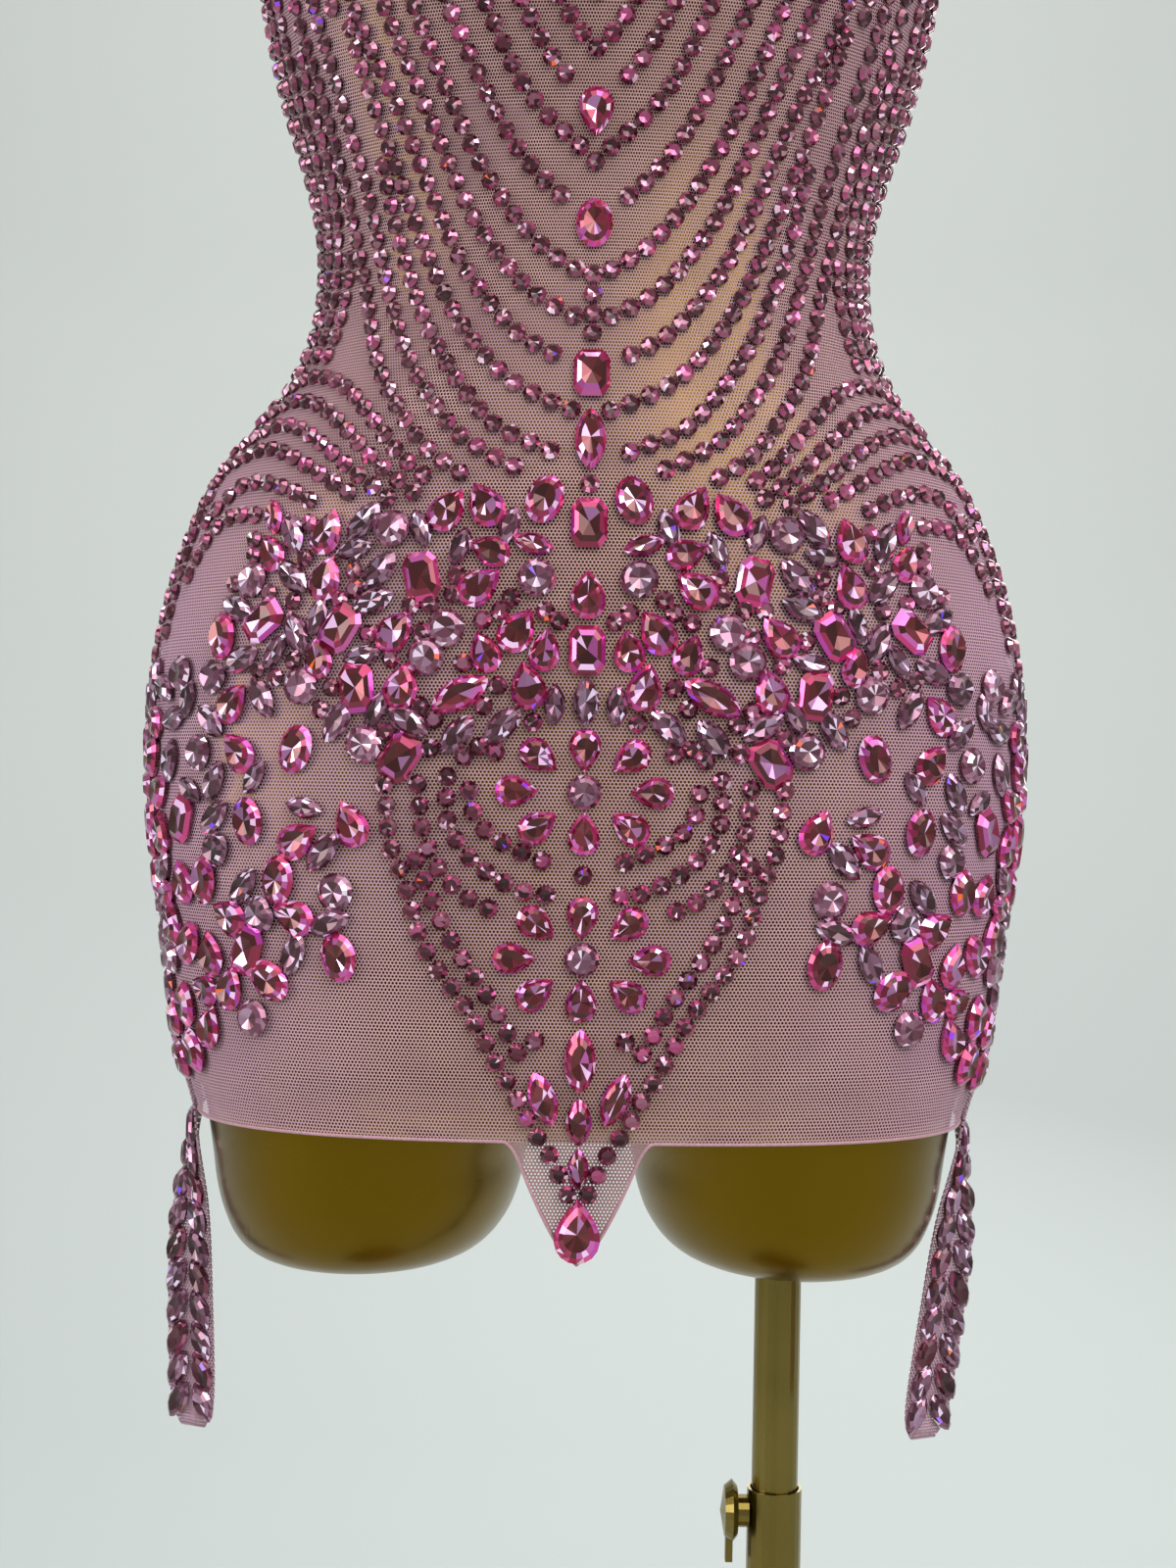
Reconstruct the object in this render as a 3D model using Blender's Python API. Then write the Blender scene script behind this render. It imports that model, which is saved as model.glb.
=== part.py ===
# Bodycon mini dress of stretch net with raised stones, worn by a limbless dress form on a telescopic stand.
# The front faces -Y, Z is up, and the origin is the middle of the base plate's underside. Sizes are in metres.
from math import atan2, cos, degrees, exp, pi, radians, sin

import bmesh
import bpy
from mathutils import Matrix, Vector
from mathutils.bvhtree import BVHTree

FORWARD = Vector((0, -1, 0))

# Cloth
WALL = 0.0012  # net, its edging and the back of the settings
SEAM_GAP = 0.0003
FORM_GAP = 0.0006  # between the cloth and the form
HEM_HEIGHT = 0.774
POINT_DROP = 0.045  # how far the front point hangs below the hem
POINT_TUCK = 0.002  # how far its tip leans back
POINT_ANGLE = 4.0  # degrees from the middle of the front to where the point leaves the hem
FRONT_STEPS = 8  # columns from the point's side to the side seam
BACK_STEPS = 8  # columns from the side seam to the middle of the back
TOP_STEPS = 5  # rows between the last whole row and the top edge
LAST_WHOLE_ROW = 1.250

# Bust, the same soft swell on each side
BUST_HEIGHT = 1.285
BUST_SIDE = 0.078
BUST_RISE = 0.028
BUST_WIDTH = 0.060
BUST_TALL = 0.040
BUST_SLACK = 0.0022  # the form's bust is this much lower than the cloth's
CHEST_SLACK = 0.0012  # further room between cloth and form above the last whole row

# Outer side of the cloth and, above it, of the form: a row for each height
SECTION_COLUMNS = ("height", "half_width", "front", "back", "squareness")
SECTIONS = (
    (0.774, 0.1532, 0.0980, 0.0980, 2.90),
    (0.800, 0.1605, 0.1010, 0.1050, 2.80),
    (0.830, 0.1655, 0.1030, 0.1130, 2.65),
    (0.860, 0.1697, 0.1050, 0.1200, 2.50),
    (0.890, 0.1738, 0.1060, 0.1240, 2.40),
    (0.920, 0.1755, 0.1070, 0.1240, 2.30),
    (0.950, 0.1748, 0.1075, 0.1200, 2.25),
    (0.980, 0.1690, 0.1065, 0.1120, 2.20),
    (1.005, 0.1607, 0.1040, 0.1030, 2.20),
    (1.025, 0.1510, 0.1010, 0.0950, 2.20),
    (1.042, 0.1385, 0.0975, 0.0880, 2.20),
    (1.060, 0.1240, 0.0940, 0.0820, 2.20),
    (1.080, 0.1145, 0.0905, 0.0770, 2.20),
    (1.100, 0.1106, 0.0880, 0.0745, 2.20),
    (1.125, 0.1112, 0.0870, 0.0740, 2.20),
    (1.150, 0.1168, 0.0880, 0.0760, 2.20),
    (1.180, 0.1265, 0.0920, 0.0800, 2.20),
    (1.215, 0.1345, 0.0980, 0.0860, 2.20),
    (1.250, 0.1390, 0.1020, 0.0910, 2.25),
    (1.270, 0.1406, 0.1022, 0.0935, 2.28),
    (1.290, 0.1424, 0.1015, 0.0955, 2.30),
    (1.310, 0.1440, 0.1000, 0.0975, 2.30),
    (1.330, 0.1460, 0.0970, 0.0990, 2.32),
    (1.355, 0.1500, 0.0900, 0.1000, 2.35),
    (1.390, 0.1580, 0.0780, 0.0980, 2.40),
    (1.420, 0.1660, 0.0680, 0.0920, 2.40),
    (1.445, 0.1690, 0.0600, 0.0830, 2.30),
    (1.462, 0.1580, 0.0560, 0.0750, 2.20),
    (1.476, 0.1300, 0.0540, 0.0700, 2.10),
    (1.488, 0.0950, 0.0520, 0.0660, 2.00),
    (1.500, 0.0720, 0.0500, 0.0630, 2.00),
    (1.520, 0.0590, 0.0470, 0.0600, 2.00),
    (1.550, 0.0550, 0.0450, 0.0570, 2.00),
    (1.560, 0.0490, 0.0400, 0.0510, 2.00),
    (1.564, 0.0400, 0.0330, 0.0420, 2.00),
)

# Top edge of the dress, a row for each angle from the middle of the front
TOP_COLUMNS = ("angle", "height")
TOP_EDGE = ((0, 1.338), (32, 1.350), (60, 1.325), (90, 1.300), (135, 1.288), (180, 1.284))

# Thigh stubs of the form, from the top: height, middle and half width along X, front and back depth
STUB_ROWS = (
    (0.840, 0.0800, 0.0600, 0.0780, 0.0820),
    (0.800, 0.0815, 0.0740, 0.0895, 0.0930),
    (0.774, 0.0825, 0.0690, 0.0860, 0.0860),
    (0.757, 0.0850, 0.0640, 0.0810, 0.0810),
    (0.742, 0.0855, 0.0615, 0.0760, 0.0760),
    (0.730, 0.0862, 0.0575, 0.0700, 0.0700),
    (0.720, 0.0875, 0.0510, 0.0620, 0.0620),
    (0.714, 0.0885, 0.0420, 0.0520, 0.0520),
    (0.710, 0.0888, 0.0270, 0.0350, 0.0350),
)
STUB_SIDES = 20
FORM_FOOT_ROWS = ((0.786, 1.0), (0.772, 0.86), (0.767, 0.60))  # height and share of the section

# Hanging tails, a row for each height: middle of the strip, the way it faces in degrees from X, and its width
TAIL_COLUMNS = ("height", "side", "forward", "facing", "width")
TAIL_ROWS = (
    (0.774, 0.1539, 0.0140, 3, 0.022),
    (0.764, 0.1540, 0.0140, 8, 0.022),
    (0.750, 0.1555, 0.0135, 25, 0.022),
    (0.735, 0.1570, 0.0130, 45, 0.022),
    (0.718, 0.1580, 0.0120, 58, 0.022),
    (0.698, 0.1580, 0.0120, 62, 0.022),
    (0.678, 0.1578, 0.0120, 64, 0.022),
    (0.658, 0.1575, 0.0120, 66, 0.021),
    (0.648, 0.1573, 0.0120, 66, 0.018),
    (0.642, 0.1572, 0.0120, 66, 0.011),
)
TAIL_LEANS = {-1: 0.003, 1: 0.016}  # how far each tail's end hangs towards the middle
TAIL_LAP = 0.018  # how far its top lies over the panel
TAIL_LAP_LIFT = 0.0006
TAIL_PAIRS = 9
TAIL_TOP_PAIR = 0.765
TAIL_PITCH = 0.0132
TAIL_SPREAD = 0.0054
TAIL_SLANT = 24

# Shoulder straps
STRAP_SIDE = 0.085
STRAP_WIDTH = 0.012
STRAP_HUB = (0.0, 1.380)  # Y and height of the point that the strap is laid around
STRAP_FRONT_REACH = -34  # degrees below level where it ends on the front and on the back
STRAP_BACK_REACH = -46
STRAP_STEPS = 26
STRAP_CAST = 0.3  # distance from the hub at which the lines start that find its seat
STRAP_BRIDGE = 0.0044  # lift of the strap over the form just beyond the panel's edge
STRAP_LIFT = 0.0030
STRAP_LAP_LIFT = 0.0019

# Stones: half width, half height and rise of each cut
CUTS = {
    "rivoli": (0.0070, 0.0070, 0.0040),
    "oval": (0.0068, 0.0092, 0.0042),
    "pear": (0.0066, 0.0090, 0.0042),
    "octagon": (0.0066, 0.0090, 0.0040),
    "navette": (0.0048, 0.0088, 0.0036),
    "long_navette": (0.0058, 0.0118, 0.0042),
    "tail_navette": (0.0040, 0.0074, 0.0032),
    "point_pear": (0.0085, 0.0120, 0.0050),
}
STONE_SINK = 0.00035
CAST_LIFT = 0.02  # how far off the cloth a line starts that finds a corner's seat
CAST_REACH = 0.03
TAIL_SINK = 0.00070
STONE_TABLE = 0.62  # the flat top's size as a share of the outline

# Stones down the middle of the front, each with its height and its turn in degrees
MIDDLE_STONES = (
    ("pear", 1.153, 180),
    ("oval", 1.112, 0),
    ("octagon", 1.055, 0),
    ("long_navette", 1.030, 0),
    ("octagon", 0.999, 0),
    ("pear", 0.973, 0),
    ("octagon", 0.953, 0),
    ("navette", 0.9345, 0),
    ("long_navette", 0.8045, 0),
    ("navette", 0.7820, 0),
    ("point_pear", 0.7420, 0),
)
FLOWER_HEIGHTS = (0.9020, 0.8415)
FLOWER_PETALS = (  # place across and up from the flower's middle
    (0.0, 0.0150),
    (-0.0165, 0.0125),
    (-0.0245, 0.0),
    (-0.0165, -0.0125),
    (0.0, -0.0150),
    (0.0165, -0.0125),
    (0.0245, 0.0),
    (0.0165, 0.0125),
)
FLOWER_MIDDLE_SHRINK = 0.9
PETAL_CUT = "pear"
PETAL_SHRINK = 0.88

# Bands of large stones from the middle to the side: height at the first and last stone, first and last angle,
# how many, and the cuts in turn
BANDS = (
    (1.0075, 0.9960, 4.6, 40.0, 7, ("oval", "pear", "pear", "rivoli", "navette", "pear", "navette")),
    (0.9790, 0.9790, 5.0, 46.0, 7, ("rivoli", "pear", "octagon", "navette", "pear", "navette", "rivoli")),
    (0.9600, 0.9580, 6.6, 50.0, 7, ("pear", "rivoli", "pear", "octagon", "navette", "octagon", "oval")),
    (0.9400, 0.9390, 5.2, 41.0, 6, ("pear", "long_navette", "pear", "octagon", "rivoli", "navette")),
    (0.9220, 0.9180, 12.5, 24.0, 3, ("navette", "octagon", "rivoli")),
    (0.9160, 0.9120, 34.0, 84.0, 6, ("oval", "pear", "rivoli", "navette", "oval", "pear")),
    (0.8890, 0.8890, 25.0, 85.0, 8, ("pear", "pear", "oval", "navette", "octagon", "pear", "oval", "navette")),
    (0.8640, 0.8660, 27.0, 85.0, 8, ("rivoli", "oval", "navette", "oval", "pear", "navette", "pear", "oval")),
    (0.8400, 0.8430, 26.0, 85.0, 8, ("oval", "navette", "octagon", "pear", "oval", "pear", "navette", "pear")),
    (0.8160, 0.8200, 42.0, 85.0, 5, ("rivoli", "pear", "oval", "navette", "pear")),
)
BACK_BAND_SHIFT = 9.0  # degrees behind the seam where each band starts again on the back
BACK_BAND_END = 116.0
BACK_BAND_COUNT = 2
BAND_TURNS = (18, -24, 34, -12, 40)
RAISED_EVERY = 2  # of each band, one stone in two is large enough to be raised

# Stand
MAST_SIDE = 0.083  # X of the mast, which goes into one thigh stub
MAST_RADIUS = 0.0095
MAST_BORE = 0.0080
MAST_TOP = 0.790
MAST_FOOT = 0.215
SOCKET_RADIUS = 0.0100
SOCKET_FOOT = 0.650
TUBE_RADIUS = 0.0112
TUBE_BORE = 0.0101
TUBE_TOP = 0.617
TUBE_SIDES = 24
BASE_RADIUS = 0.180
BASE_THICK = 0.008
BASE_BEVEL = 0.003
BASE_SIDES = 48
FLANGE_RADIUS = 0.026
FLANGE_HEIGHT = 0.014
FLANGE_STEPS = (0.003, 0.006)  # heights of its rim and of the foot of its collar
FLANGE_COLLAR = (0.004, 0.003)  # thickness of the collar at its foot and top
CLAMP_HEIGHT = 0.607
CLAMP_STEM_RADIUS = 0.0030
CLAMP_HOLE_RADIUS = 0.0034
CLAMP_HOLE_NEAR = 0.0040  # from the mast's axis
CLAMP_HOLE_FAR = 0.0200
CLAMP_BOSS_RADIUS = 0.0065
CLAMP_BOSS_NEAR = 0.0106
CLAMP_BOSS_REACH = 0.0150
CLAMP_HEAD_RADIUS = 0.0125
CLAMP_HEAD_THICK = 0.0070
CLAMP_SIDES = 24
CLAMP_WING_LENGTH = 0.0080
CLAMP_WING_WIDTH = 0.0050
CLAMP_WING_THICK = 0.0030
MESH_GAP = 0.0003


def clear_scene():
    for thing in list(bpy.data.objects):
        bpy.data.objects.remove(thing, do_unlink=True)


def make_material(name, colour, roughness, metallic):
    material = bpy.data.materials.new(name)
    material.use_nodes = True
    shader = material.node_tree.nodes["Principled BSDF"]
    shader.inputs["Base Color"].default_value = (*colour, 1.0)
    shader.inputs["Roughness"].default_value = roughness
    shader.inputs["Metallic"].default_value = metallic
    return material


def read_smooth(table, columns, column, place):
    # A cubic through the table's rows, with the first column as the place along it.
    at = columns.index(column)
    places = [row[0] for row in table]
    values = [row[at] for row in table]
    place = min(max(place, places[0]), places[-1])
    last = len(places) - 1
    low = max(i for i in range(last) if places[i] <= place)
    high = low + 1
    span = places[high] - places[low]

    def slope(i):
        before = max(i - 1, 0)
        after = min(i + 1, last)
        return (values[after] - values[before]) / (places[after] - places[before])

    t = (place - places[low]) / span
    return (
        (2 * t**3 - 3 * t**2 + 1) * values[low]
        + (t**3 - 2 * t**2 + t) * span * slope(low)
        + (3 * t**2 - 2 * t**3) * values[high]
        + (t**3 - t**2) * span * slope(high)
    )


def signed_power(value, power):
    return abs(value) ** power if value >= 0 else -(abs(value) ** power)


def figure_point(angle, height, bust_rise=BUST_RISE):
    # Angle in degrees from the middle of the front, towards +X.
    half_width, front, back, squareness = (
        read_smooth(SECTIONS, SECTION_COLUMNS, column, height) for column in SECTION_COLUMNS[1:]
    )
    across = sin(radians(angle))
    ahead = cos(radians(angle))
    x = half_width * signed_power(across, 2 / squareness)
    y = -(front if ahead > 0 else back) * signed_power(ahead, 2 / squareness)
    if ahead > 0:
        swell = sum(exp(-(((x - side) / BUST_WIDTH) ** 2)) for side in (-BUST_SIDE, BUST_SIDE))
        y -= bust_rise * ahead**0.6 * swell * exp(-(((height - BUST_HEIGHT) / BUST_TALL) ** 2))
    return Vector((x, y, height))


def figure_normal(angle, height):
    along = figure_point(angle + 1.2, height) - figure_point(angle - 1.2, height)
    up = figure_point(angle, height + 0.004) - figure_point(angle, height - 0.004)
    return along.cross(up).normalized()


def top_edge_height(angle):
    return read_smooth(TOP_EDGE, TOP_COLUMNS, "height", abs(angle))


def front_angles():
    step = (90 - POINT_ANGLE) / FRONT_STEPS
    half = [POINT_ANGLE + step * i for i in range(FRONT_STEPS + 1)]
    return [-a for a in reversed(half)] + [0.0] + half


def back_angles():
    return [90 + 90 / BACK_STEPS * i for i in range(2 * BACK_STEPS + 1)]


def whole_rows():
    return [row[0] for row in SECTIONS if row[0] <= LAST_WHOLE_ROW]


def cloth_height(angle, row):
    rows = whole_rows()
    if row < len(rows):
        return rows[row]
    share = (row - len(rows) + 1) / TOP_STEPS
    wrapped = angle if angle <= 180 else 360 - angle
    return LAST_WHOLE_ROW + share * (top_edge_height(wrapped) - LAST_WHOLE_ROW)


def finish_mesh(name, mesh_data, material, smooth_angle=40):
    mesh = bpy.data.meshes.new(name)
    bmesh.ops.recalc_face_normals(mesh_data, faces=mesh_data.faces)
    mesh_data.to_mesh(mesh)
    mesh_data.free()
    mesh.materials.append(material)
    mesh.shade_smooth()
    mesh.set_sharp_from_angle(angle=radians(smooth_angle))
    thing = bpy.data.objects.new(name, mesh)
    bpy.context.scene.collection.objects.link(thing)
    return thing


def skin_grid(mesh_data, rows, flip=False, closed=False):
    # Two triangles between each four neighbours, all cut the same way.
    count = len(rows[0])
    for low, high in zip(rows, rows[1:]):
        for i in range(count if closed else count - 1):
            j = (i + 1) % count
            for face in ((low[i], low[j], high[j]), (low[i], high[j], high[i])):
                mesh_data.faces.new(reversed(face) if flip else face)


def wall_between(mesh_data, outer, inner):
    # Closed wall between two grids of points, given as rows from bottom to top.
    outside = [[mesh_data.verts.new(p) for p in row] for row in outer]
    inside = [[mesh_data.verts.new(p) for p in row] for row in inner]
    skin_grid(mesh_data, outside)
    skin_grid(mesh_data, inside, flip=True)
    skin_grid(mesh_data, [inside[0], outside[0]])
    skin_grid(mesh_data, [outside[-1], inside[-1]])
    skin_grid(mesh_data, [[r[0] for r in outside], [r[0] for r in inside]], flip=True)
    skin_grid(mesh_data, [[r[-1] for r in outside], [r[-1] for r in inside]])


def cloth_grids(angles, seam_shift):
    # The panel's outer and inner points. Its side edges stop half a seam gap short of the seam.
    outer, inner = [], []
    for row in range(len(whole_rows()) + TOP_STEPS):
        outer_row, inner_row = [], []
        for angle in angles:
            height = cloth_height(angle, row)
            spot = figure_point(angle, height)
            facing = figure_normal(angle, height)
            if row == 0 and angle == 0:
                spot = spot + Vector((0, POINT_TUCK, -POINT_DROP))
                facing = FORWARD
            if angle in (angles[0], angles[-1]):
                spot.y += seam_shift
                facing = Vector((facing.x, 0, facing.z)).normalized()
            outer_row.append(spot)
            inner_row.append(spot - WALL * facing)
        outer.append(outer_row)
        inner.append(inner_row)
    return outer, inner


def cut_outline(cut, turn, scale=1.0):
    # Corners of a stone seen from its front, anticlockwise, with Y along its length.
    wide, tall, _ = CUTS[cut]
    family = cut.split("_")[-1]
    if family in ("rivoli", "oval", "octagon"):
        corners = [(wide * cos(pi * i / 3), tall * sin(pi * i / 3)) for i in range(6)]
    elif family == "pear":
        turns = [pi * i / 3 for i in range(-3, 1)]
        round_part = [(wide * cos(t), (0.7 * sin(t) - 0.3) * tall) for t in turns]
        corners = round_part + [(0.0, tall)]
    else:
        corners = [
            (0.0, -tall), (0.82 * wide, -0.42 * tall), (0.82 * wide, 0.42 * tall),
            (0.0, tall), (-0.82 * wide, 0.42 * tall), (-0.82 * wide, -0.42 * tall),
        ]
    spin = Matrix.Rotation(radians(turn), 2)
    return [spin @ Vector(corner) * scale for corner in corners]


def add_stone(mesh_data, tree, spot, facing, cut, turn, scale=1.0, sink=STONE_SINK):
    # A stone's outline is laid on the panel, sunk a little into its wall, and its flat top stands clear.
    across = Vector((0, 0, 1)).cross(facing).normalized()
    up = facing.cross(across)
    seat = tree.ray_cast(spot + CAST_LIFT * facing, -facing)[0] or spot
    outline = cut_outline(cut, turn, scale)
    rise = CUTS[cut][2] * scale
    lower = []
    for corner in outline:
        above = seat + corner.x * across + corner.y * up
        hit = tree.ray_cast(above + CAST_LIFT * facing, -facing, CAST_REACH)[0] or above
        lower.append(mesh_data.verts.new(hit - sink * facing))
    upper = [
        mesh_data.verts.new(seat + STONE_TABLE * (c.x * across + c.y * up) + rise * facing) for c in outline
    ]
    foot = mesh_data.verts.new(seat - sink * facing)
    count = len(outline)
    for i in range(count):
        j = (i + 1) % count
        mesh_data.faces.new((lower[i], lower[j], upper[j]))
        mesh_data.faces.new((lower[i], upper[j], upper[i]))
        mesh_data.faces.new((foot, lower[j], lower[i]))
    mesh_data.faces.new(upper)


def add_figure_stone(mesh_data, tree, angle, height, cut, turn, scale=1.0):
    spot = figure_point(angle, height)
    if height < HEM_HEIGHT:
        spot = figure_point(angle, HEM_HEIGHT) + Vector((0, 0.001, height - HEM_HEIGHT))
    facing = figure_normal(angle, max(height, HEM_HEIGHT + 0.005))
    add_stone(mesh_data, tree, spot, facing, cut, turn, scale)


def front_stones(mesh_data, tree):
    for cut, height, turn in MIDDLE_STONES:
        add_figure_stone(mesh_data, tree, 0.0, height, cut, turn)
    for height in FLOWER_HEIGHTS:
        middle = figure_point(0.0, height)
        add_stone(mesh_data, tree, middle, FORWARD, "rivoli", 0, FLOWER_MIDDLE_SHRINK)
        for across, up in FLOWER_PETALS:
            inward = degrees(atan2(across, -up))
            add_stone(mesh_data, tree, middle + Vector((across, 0, up)), FORWARD, PETAL_CUT, inward, PETAL_SHRINK)
    for side in (-1, 1):
        for band in range(len(BANDS)):
            for angle, height, cut, turn in list(band_places(band))[::RAISED_EVERY]:
                add_figure_stone(mesh_data, tree, side * angle, height, cut, side * turn)


def band_places(band):
    first_height, last_height, first_angle, last_angle, count, cuts = BANDS[band]
    for i in range(count):
        share = i / (count - 1)
        angle = first_angle + share * (last_angle - first_angle)
        height = first_height + share * (last_height - first_height)
        yield angle, height, cuts[i % len(cuts)], BAND_TURNS[(i + band) % len(BAND_TURNS)]


def back_stones(mesh_data, tree):
    for side in (-1, 1):
        for band, row in list(enumerate(BANDS))[::RAISED_EVERY]:
            cuts = row[-1]
            start = 90 + BACK_BAND_SHIFT
            for i in range(BACK_BAND_COUNT):
                angle = start + i * (BACK_BAND_END - start) / (BACK_BAND_COUNT - 1)
                turn = BAND_TURNS[(i + band + 2) % len(BAND_TURNS)]
                add_figure_stone(mesh_data, tree, side * angle, row[1], cuts[(i + 1) % len(cuts)], side * turn)


def make_panel(name, angles, seam_shift, add_stones, material):
    panel_mesh = bmesh.new()
    outer, inner = cloth_grids(angles, seam_shift)
    wall_between(panel_mesh, outer, inner)
    bmesh.ops.recalc_face_normals(panel_mesh, faces=panel_mesh.faces)
    tree = BVHTree.FromBMesh(panel_mesh)
    stone_mesh = bmesh.new()
    add_stones(stone_mesh, tree)
    stones = finish_mesh(name + "_stones", stone_mesh, material)
    panel = finish_mesh(name, panel_mesh, material)
    join_solids(panel, stones)
    return panel


def join_solids(thing, other, operation="UNION"):
    other.hide_render = True
    other.display_type = "WIRE"
    cut = thing.modifiers.new(operation.lower() + "_" + other.name, "BOOLEAN")
    cut.operation = operation
    cut.solver = "EXACT"
    cut.object = other


def make_tail(name, side, material):
    angles = front_angles()
    near, far = angles[-2], angles[-1]
    outer, inner = [], []
    half_lap = TAIL_ROWS[0][4] / 2
    for height in (HEM_HEIGHT + TAIL_LAP, HEM_HEIGHT + TAIL_LAP / 2):
        first = figure_point(near, height)
        last = figure_point(far, height)
        along = (last - first).normalized()
        facing = along.cross(Vector((0, 0, 1)))
        middle = (first + last) / 2 + facing * TAIL_LAP_LIFT
        outer.append([middle - half_lap * along + WALL * facing, middle + half_lap * along + WALL * facing])
        inner.append([middle - half_lap * along, middle + half_lap * along])
    for height, across, forward, facing_angle, width in TAIL_ROWS:
        facing = Vector((cos(radians(facing_angle)), -sin(radians(facing_angle)), 0))
        along = Vector((sin(radians(facing_angle)), cos(radians(facing_angle)), 0))
        middle = Vector((across - tail_lean(height, side), -forward, height))
        outer.append([middle - width / 2 * along + WALL * facing, middle + width / 2 * along + WALL * facing])
        inner.append([middle - width / 2 * along, middle + width / 2 * along])
    mirror = Vector((side, 1, 1))
    outer = [[p * mirror for p in row] for row in outer]
    inner = [[p * mirror for p in row] for row in inner]
    tail_mesh = bmesh.new()
    wall_between(tail_mesh, outer, inner)
    bmesh.ops.recalc_face_normals(tail_mesh, faces=tail_mesh.faces)
    tree = BVHTree.FromBMesh(tail_mesh)
    stone_mesh = bmesh.new()
    for pair in range(TAIL_PAIRS):
        height = TAIL_TOP_PAIR - pair * TAIL_PITCH
        middle, facing, along = tail_frame(height, side)
        for way in (-1, 1):
            spot = middle + way * TAIL_SPREAD * along
            add_stone(stone_mesh, tree, spot, facing, "tail_navette", way * TAIL_SLANT, sink=TAIL_SINK)
    stones = finish_mesh(name + "_stones", stone_mesh, material)
    tail = finish_mesh(name, tail_mesh, material)
    join_solids(tail, stones)
    return tail


def tail_lean(height, side):
    drop = TAIL_ROWS[0][0] - TAIL_ROWS[-1][0]
    return TAIL_LEANS[side] * max(0.0, TAIL_ROWS[0][0] - height) / drop


def tail_frame(height, side):
    rows = tuple(reversed(TAIL_ROWS))
    across = read_smooth(rows, TAIL_COLUMNS, "side", height)
    forward = read_smooth(rows, TAIL_COLUMNS, "forward", height)
    facing_angle = radians(read_smooth(rows, TAIL_COLUMNS, "facing", height))
    facing = Vector((side * cos(facing_angle), -sin(facing_angle), 0))
    middle = Vector((side * (across - tail_lean(height, side)), -forward, height)) + WALL * facing
    return middle, facing, Vector((0, 0, 1)).cross(facing)


def make_form(material):
    # Torso down to the hem, with two round thigh stubs and the socket for the mast.
    angles = front_angles() + back_angles()[1:-1]
    form_mesh = bmesh.new()
    rings = []
    for height, share in reversed(FORM_FOOT_ROWS):
        rings.append([form_point(angle, max(height, HEM_HEIGHT), share, height) for angle in angles])
    for height in (row[0] for row in SECTIONS if row[0] > FORM_FOOT_ROWS[0][0]):
        rings.append([form_point(angle, height, 1.0, height) for angle in angles])
    skins = [[form_mesh.verts.new(p) for p in ring] for ring in rings]
    skin_grid(form_mesh, skins, closed=True)
    form_mesh.faces.new(reversed(skins[0]))
    form_mesh.faces.new(skins[-1])
    form = finish_mesh("dress_form", form_mesh, material)
    for side in (-1, 1):
        join_solids(form, make_stub("stub_left" if side < 0 else "stub_right", side, material))
    socket = make_rod("socket_cut", SOCKET_RADIUS, SOCKET_FOOT, MAST_TOP + MESH_GAP, material)
    join_solids(form, socket, "DIFFERENCE")
    return form


def form_point(angle, section_height, share, height):
    spot = figure_point(angle, section_height, BUST_RISE - BUST_SLACK)
    slack = CHEST_SLACK if section_height > LAST_WHOLE_ROW else 0.0
    spot = spot - (WALL + FORM_GAP + slack) * figure_normal(angle, section_height)
    if share < 1.0:
        spot.z = height
    return Vector((spot.x * share, spot.y * share, spot.z))


def make_stub(name, side, material):
    stub_mesh = bmesh.new()
    rings = []
    for height, middle, half_width, front, back in reversed(STUB_ROWS):
        ring = []
        for i in range(STUB_SIDES):
            turn = 2 * pi * i / STUB_SIDES
            depth = front if sin(turn) < 0 else back
            across = side * (middle + half_width * cos(turn))
            ring.append(stub_mesh.verts.new((across, depth * sin(turn), height)))
        rings.append(ring)
    skin_grid(stub_mesh, rings, closed=True)
    stub_mesh.faces.new(rings[0])
    stub_mesh.faces.new(rings[-1])
    return finish_mesh(name, stub_mesh, material)


def make_strap(name, side, form_tree, panel_trees, material):
    # The strap is laid on the panels and the form from in front, over the shoulder and down the back.
    outer, inner = [], []
    ways = []
    for step in range(STRAP_STEPS + 1):
        share = step / STRAP_STEPS
        turn = radians(STRAP_FRONT_REACH + share * (180 - STRAP_BACK_REACH - STRAP_FRONT_REACH))
        ways.append(Vector((0, -cos(turn), sin(turn))))
    for edge in (-0.5, 0.5):
        hub = Vector((side * STRAP_SIDE + edge * STRAP_WIDTH, STRAP_HUB[0], STRAP_HUB[1]))
        on_panel = [next((hit for hit in cast_all(panel_trees, hub, way) if hit), None) for way in ways]
        for step, way in enumerate(ways):
            beside = any(on_panel[max(step - 1, 0) : step + 2])
            skin = on_panel[step] or form_tree.ray_cast(hub + way * STRAP_CAST, -way)[0]
            lift = STRAP_LAP_LIFT if on_panel[step] else STRAP_BRIDGE if beside else STRAP_LIFT
            if edge < 0:
                inner.append([skin + lift * way])
                outer.append([skin + (lift + WALL) * way])
            else:
                inner[step].append(skin + lift * way)
                outer[step].append(skin + (lift + WALL) * way)
    strap_mesh = bmesh.new()
    wall_between(strap_mesh, outer, inner)
    return finish_mesh(name, strap_mesh, material)


def cast_all(trees, hub, way):
    return [tree.ray_cast(hub + way * STRAP_CAST, -way, STRAP_CAST)[0] for tree in trees]


def make_rod(name, radius, foot, top, material, sides=TUBE_SIDES, middle=(MAST_SIDE, 0.0)):
    rod_mesh = bmesh.new()
    place = Matrix.Translation((middle[0], middle[1], (foot + top) / 2))
    bmesh.ops.create_cone(
        rod_mesh, cap_ends=True, segments=sides, radius1=radius, radius2=radius, depth=top - foot, matrix=place
    )
    return finish_mesh(name, rod_mesh, material)


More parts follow.
